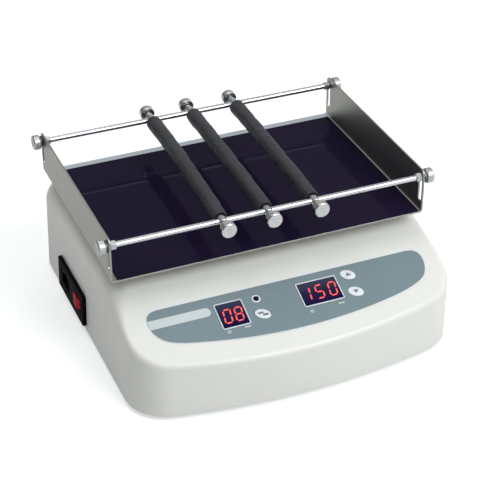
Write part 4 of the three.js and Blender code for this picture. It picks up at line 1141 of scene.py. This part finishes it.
def tray():
    """Bent sheet, a U from the front, with two slots in each end plate."""
    w, h = (TRAY_HI.x - TRAY_LO.x) / 2, TRAY_HI.z - TRAY_LO.z
    depth = (TRAY_HI.y - TRAY_LO.y) / 2
    bend_x, inner_r = w - BEND_R, BEND_R - SHEET
    down, left = math.pi / 2, math.pi
    section = [(-w, h)] + arc(-bend_x, BEND_R, BEND_R, left, left + down, 10)
    section += arc(bend_x, BEND_R, BEND_R, -down, 0, 10) + [(w, h), (w - SHEET, h)]
    section += arc(bend_x, BEND_R, inner_r, 0, -down, 10)
    section += arc(-bend_x, BEND_R, inner_r, -down, -left, 10) + [(-w + SHEET, h)]
    mesh = prism([(TRAY_X + x, TRAY_Z + z) for x, z in section],
                 TRAY_Y - depth, TRAY_Y + depth, XZ)
    start, end = TRAY_X - w - 5, TRAY_X + w + 5
    slot_low, slot_high = TRAY_Z + 12, RODS["front"].z + SLOT_W / 2
    cutters = []
    for rod in RODS.values():
        slot = rect(SLOT_W, slot_high - slot_low, SLOT_W / 2 - 0.01, rod.y,
                    (slot_high + slot_low) / 2, 10)
        cutters.append(prism(slot, start, end, YZ))
    radius = 5.0  # of the end plates' upper corners
    top = TRAY_Z + h + 3
    for side in (-1, 1):
        y, z = TRAY_Y + side * (depth - radius), TRAY_Z + h - radius
        past = TRAY_Y + side * (depth + 3)
        angles = [math.radians(a) for a in range(0, 91, 9)]
        corner = [(y, top)]
        corner += [(y + side * radius * math.sin(a), z + radius * math.cos(a)) for a in angles]
        cutters.append(prism(corner + [(past, z), (past, top)], start, end, YZ))
    piece("tray_sheet", carve(mesh, *cutters), "sheet_brushed_tray", "platform", "tray",
          sharp=30, bevel=0.28)


def tray_mat():
    low, high = box_mm("mat")
    x, y, _ = (low + high) / 2
    mesh = plate([rect(high.x - low.x, high.y - low.y, 1.5, x, y)], low.z, high.z,
                 edge=0.35, steps=3)
    piece("tray_mat", mesh, "gloss_mat", "platform", "mat")


# ------------------------------------------------------------------ rod rack
# Profiles are (radius, distance from the rod's or bar's middle[, corner radius]).
ROD_HALF = 177.0
ROD = [(0, -ROD_HALF), (2.2, -ROD_HALF), (3, -ROD_HALF + 0.8), (3, ROD_HALF - 0.8),
       (2.2, ROD_HALF), (0, ROD_HALF)]
NUT_START, NUT_END = 161.9, 167.6
NUT_DOME = [(0, NUT_START - 0.01), (4.3, NUT_START - 0.01), (5.05, NUT_START + 0.7),
            (5.05, NUT_END - 0.7), (4.3, NUT_END + 0.01), (0, NUT_END + 0.01)]
END_KNOB = [
    (0, 180.35, 0), (2.6, 180.35, 0.3), (3.0, 180.6, 0.2), (6.8, 180.6, 0.4), (7.9, 179.4, 0.5),
    (7.9, 173.9, 0.5), (7.0, 172.9, 0.4), (4.6, 172.9, 0.2), (4.6, 171.65, 0.2),
    (3.15, 171.65, 0.1), (3.15, 177.8, 0), (0, 177.8, 0)]
BAR_HALF = [
    (3.5, 105.0, 0.1), (4.6, 105.6, 0.3), (4.6, 116.0, 0.4), (4.1, 116.5, 0.2),
    (2.5, 116.5, 0.1), (2.5, 128.4, 0.2), (1.9, 129, 0.2), (0, 129, 0)]
BAR_KNOB = [
    (0, 131.8, 0), (2.4, 131.8, 0.3), (2.8, 132, 0.2), (7.2, 132, 0.3), (8.0, 131.2, 0.4),
    (8.0, 125.1, 0.4), (7.4, 124.4, 0.3), (6.7, 124.4, 0.3), (5.9, 127.0, 0.6),
    (4.2, 127.4, 0.4), (4.2, 117.2, 0.3), (2.64, 117.2, 0.1), (2.64, 129.6, 0), (0, 129.6, 0)]


def rod_end(key, tag, place):
    """Hexagon nut, washer and knob, listed outwards from the rod's middle."""
    end = "%s_%s" % (key, tag)
    nut = carve(prism(circle(5.0, 6), NUT_START, NUT_END, place),
                lathe(NUT_DOME, corner=0.1, steps=2, matrix=place), mode="INTERSECT")
    nut = carve(nut, prism(circle(3.02, 40), NUT_START - 2, NUT_END + 2, place))
    piece("rod_nut_" + end, nut, "turned_x", key + "_rod", sharp=25)
    clamp = "end_clamp_" + end
    piece("washer_" + end, tube(3.2, 6, 170.4, 171.6, 0.25, 3, 48, place), "dark_washer", clamp)
    mesh = lathe(END_KNOB, 72, corner=0.3, matrix=place)
    piece("turned_end_knob_" + end, mesh, "turned_x", clamp, "end_knob_" + end)


def cross_rods():
    for key, rod in RODS.items():
        centre = shift(TRAY_X, rod.y, rod.z)
        mesh = lathe(ROD, corner=0.3, steps=3, matrix=centre @ spin(math.pi / 2, "Y"))
        piece("cross_rod_" + key, mesh, "polished_rod", key + "_rod", "rod_" + key)
        for tag, side in (("left", -1), ("right", 1)):
            rod_end(key, tag, centre @ spin(side * math.pi / 2, "Y"))


def bar(name):
    """A turned core bored for the two cross rods, a knob on each end, and its sleeve."""
    turn = BAR_TURNS[name]
    base = Matrix.Translation(BARS[name]) @ spin(turn, "Z")
    profile = [(radius, -y, corner) for radius, y, corner in reversed(BAR_HALF)] + BAR_HALF
    core = lathe(profile, 56, corner=0.2, steps=2, matrix=base @ spin(-math.pi / 2, "X"))
    bores = []
    for side in (-1, 1):
        place = base @ shift(0, side * 111 / math.cos(turn)) @ spin(-turn, "Z")
        bores.append(prism(circle(3.13), -8, 8, place @ spin(math.pi / 2, "Y")))
    piece("bar_core_" + name, carve(core, *bores), "turned_y", "cross_" + name, "bar_" + name,
          sharp=28)
    for side, tag in ((-1, "front"), (1, "back")):
        end = "%s_%s" % (name, tag)
        mesh = lathe(BAR_KNOB, 72, corner=0.3, matrix=base @ spin(-side * math.pi / 2, "X"))
        piece("turned_bar_knob_" + end, mesh, "turned_y", "clamp_" + end, "bar_knob_" + end)
    sleeve(name)


SLEEVE_HALF, SLEEVE_R, SLEEVE_BORE = 105.4, 8.3, 5.4
# Noise seed, sideways bow, thickening to the back, and kinks as (place along, depth)
SLEEVES = {
    "left": (3.0, 1.7, 0.35, ((-62, 0.9), (-18, 1.1), (4, 0.7), (52, 0.6))),
    "middle": (11.0, 0.7, 0.3, ((-40, 0.7), (22, 0.9), (70, 0.5))),
    "right": (23.0, 0.5, 0.3, ((-75, 0.6), (-8, 0.7), (38, 0.8))),
}


def sleeve_line():
    """(radius, y, share of the unevenness): outside front to back, then inside back to front."""
    half, bore = SLEEVE_HALF, SLEEVE_BORE
    lip = [(bore + 0.3, half - 0.05, 0.2), (6.7, half, 0.5), (7.6, half - 0.25, 0.8),
           (8.05, half - 0.9, 1.0)]
    ys = [-half + 2 * half * k / 150 for k in range(151)]
    line = [(radius, -y, share) for radius, y, share in lip]
    line += [(SLEEVE_R - 0.05, y, 1.0) for y in ys if -half + 1.5 < y < half - 1.5]
    line += lip[::-1] + [(bore, half - 0.7, 0.2)]
    line += [(bore, y, 0.0) for y in reversed(ys[1:-1:10])]
    return line + [(bore, -half + 0.7, 0.2)]


def sleeve(name):
    """A soft foam tube: not quite round, slightly bowed, uneven along its length."""
    seed, bow, swell, kinks = SLEEVES[name]

    def wave(x, y, z):
        return noise.noise(Vector((x, y, z)))

    mesh = bmesh.new()
    segs, rows = 48, []
    for radius, y, share in sleeve_line():
        middle = max(0.0, 1 - (y / SLEEVE_HALF) ** 2)  # 1 at mid length, 0 at the ends
        off_x = bow * middle + 0.5 * middle * wave(seed, y * 0.035, 0)
        off_z = 0.35 * middle * wave(seed + 5, y * 0.03, 4)
        fat = share * (swell * y / SLEEVE_HALF - 0.25 + 0.4 * wave(seed + 9, y * 0.045, 8))
        pinch = share * sum(depth * math.exp(-((y - at) / 2.2) ** 2) for at, depth in kinks)
        ring = []
        for k in range(segs):
            angle = TAU * k / segs
            cos, sin = math.cos(angle), math.sin(angle)
            soft = 0.5 * share * (wave(cos * 0.9 + seed, sin * 0.9, y * 0.07) - 0.3)
            soft += 0.22 * share * wave(cos * 2.2 + seed, sin * 2.2, y * 0.2)
            dent = pinch * (0.6 + 0.4 * math.cos(angle - 0.6))
            reach = min(radius + soft + fat - dent, 8.9)
            ring.append(mesh.verts.new((off_x + reach * cos, y, off_z + reach * sin)))
        rows.append(ring)
    for a, b in zip(rows, rows[1:] + rows[:1]):
        for k in range(segs):
            j = (k + 1) % segs
            mesh.faces.new((a[k], a[j], b[j], b[k]))
    piece("foam_" + name, mesh, "foam_sleeve", "roller_" + name, "sleeve_" + name, sharp=60,
          weighted=False, matrix=Matrix.Translation(BARS[name]) @ spin(BAR_TURNS[name], "Z"))


case_shell()
base_plate()
base_screws()
feet()
overlay()
label_strip()
displays()
window_marks()
keys()
lamp()
control_board()
inlet_surround()
power_socket()
power_rocker()
power_supply()
drive()
carrier()
platform_bearings()
tray()
tray_mat()
cross_rods()
for bar_name in BARS:
    bar(bar_name)

# ------------------------------------------------------------------ floor, light, camera
scene = bpy.context.scene


def floor():
    count, half = 24, 3000.0
    mesh = bmesh.new()
    stops = [-half + 2 * half * i / count for i in range(count + 1)]
    grid = [[mesh.verts.new((x, y, -0.3)) for y in stops] for x in stops]
    for i in range(count):
        for j in range(count):
            mesh.faces.new((grid[i][j], grid[i + 1][j], grid[i + 1][j + 1], grid[i][j + 1]))
    bmesh.ops.transform(mesh, matrix=Matrix.Scale(MM, 4), verts=mesh.verts[:])
    data = bpy.data.meshes.new("floor")
    mesh.to_mesh(data)
    mesh.free()
    obj = bpy.data.objects.new("floor", data)
    scene.collection.objects.link(obj)
    mat = Mat("floor_paper", (0.62, 0.62, 0.62), rough=0.95, spec=0.05)
    mat.color(mat.ramp(mat.noise(scale=6, detail=2), (0.3, (0.615,) * 3), (0.7, (0.625,) * 3)))
    mat.inputs["Emission Color"].default_value = (0.97, 1, 1, 1)
    # brighter to the camera than as a lamp, so the shadow stays pale
    seen = mat.node("LightPath").outputs["Is Camera Ray"]
    mat.link(mat.remap(seen, 0.17, 0.53, (0, 1)), mat.inputs["Emission Strength"])
    data.materials.append(mat.material)


def studio_world():
    world = bpy.data.worlds.new("studio")
    scene.world = world
    world.use_nodes = True
    nodes, links = world.node_tree.nodes, world.node_tree.links
    background = nodes["Background"]
    coord = nodes.new("ShaderNodeTexCoord")
    xyz = nodes.new("ShaderNodeSeparateXYZ")
    links.new(coord.outputs["Generated"], xyz.inputs["Vector"])
    ramp = nodes.new("ShaderNodeValToRGB")
    stops = ((0.0, (0.95, 0.95, 0.95, 1)), (1.0, (0.80, 0.81, 0.83, 1)))
    for element, (position, color) in zip(ramp.color_ramp.elements, stops):
        element.position = position
        element.color = color
    links.new(xyz.outputs["Z"], ramp.inputs["Fac"])
    # dimmer from the left, so the left wall falls into half shade
    side = nodes.new("ShaderNodeMapRange")
    side.interpolation_type = "SMOOTHSTEP"
    span = {"From Min": -0.9, "From Max": 0.5, "To Min": 0.12, "To Max": 0.62}
    for key, value in span.items():
        side.inputs[key].default_value = value
    links.new(xyz.outputs["X"], side.inputs["Value"])
    links.new(ramp.outputs["Color"], background.inputs["Color"])
    links.new(side.outputs["Result"], background.inputs["Strength"])


def area(name, at, size, power):
    """An area light aimed at the middle of the machine."""
    light = bpy.data.lights.new(name, "AREA")
    light.shape = "RECTANGLE"
    light.size, light.size_y = size
    light.energy = power
    obj = bpy.data.objects.new(name, light)
    scene.collection.objects.link(obj)
    obj.location = at
    aim = Vector((0, 0, 0.05)) - Vector(at)
    obj.rotation_euler = aim.to_track_quat("-Z", "Y").to_euler()


def camera():
    data = bpy.data.cameras.new("view")
    data.sensor_width = 36.0
    data.lens = 108.864
    data.clip_start, data.clip_end = 0.05, 20
    obj = bpy.data.objects.new("view", data)
    scene.collection.objects.link(obj)
    obj.location = ((TRAY_X - 510.6) * MM, (TRAY_Y - 1279.3) * MM, (TRAY_Z + 832.7) * MM)
    look_down, swing = 33.38, -22.69  # degrees
    obj.rotation_euler = (math.radians(90 - look_down), 0, math.radians(swing))
    scene.camera = obj


floor()
studio_world()
area("key", at=(0.7, -1.4, 1.6), size=(1.2, 1.0), power=29)
area("top", at=(-0.6, 0.4, 2.1), size=(1.8, 1.4), power=20)
area("fill", at=(1.8, -0.3, 0.9), size=(1.0, 1.0), power=2)
camera()
scene.view_settings.view_transform = "Standard"
scene.view_settings.look = "None"
scene.view_settings.exposure = 0.0
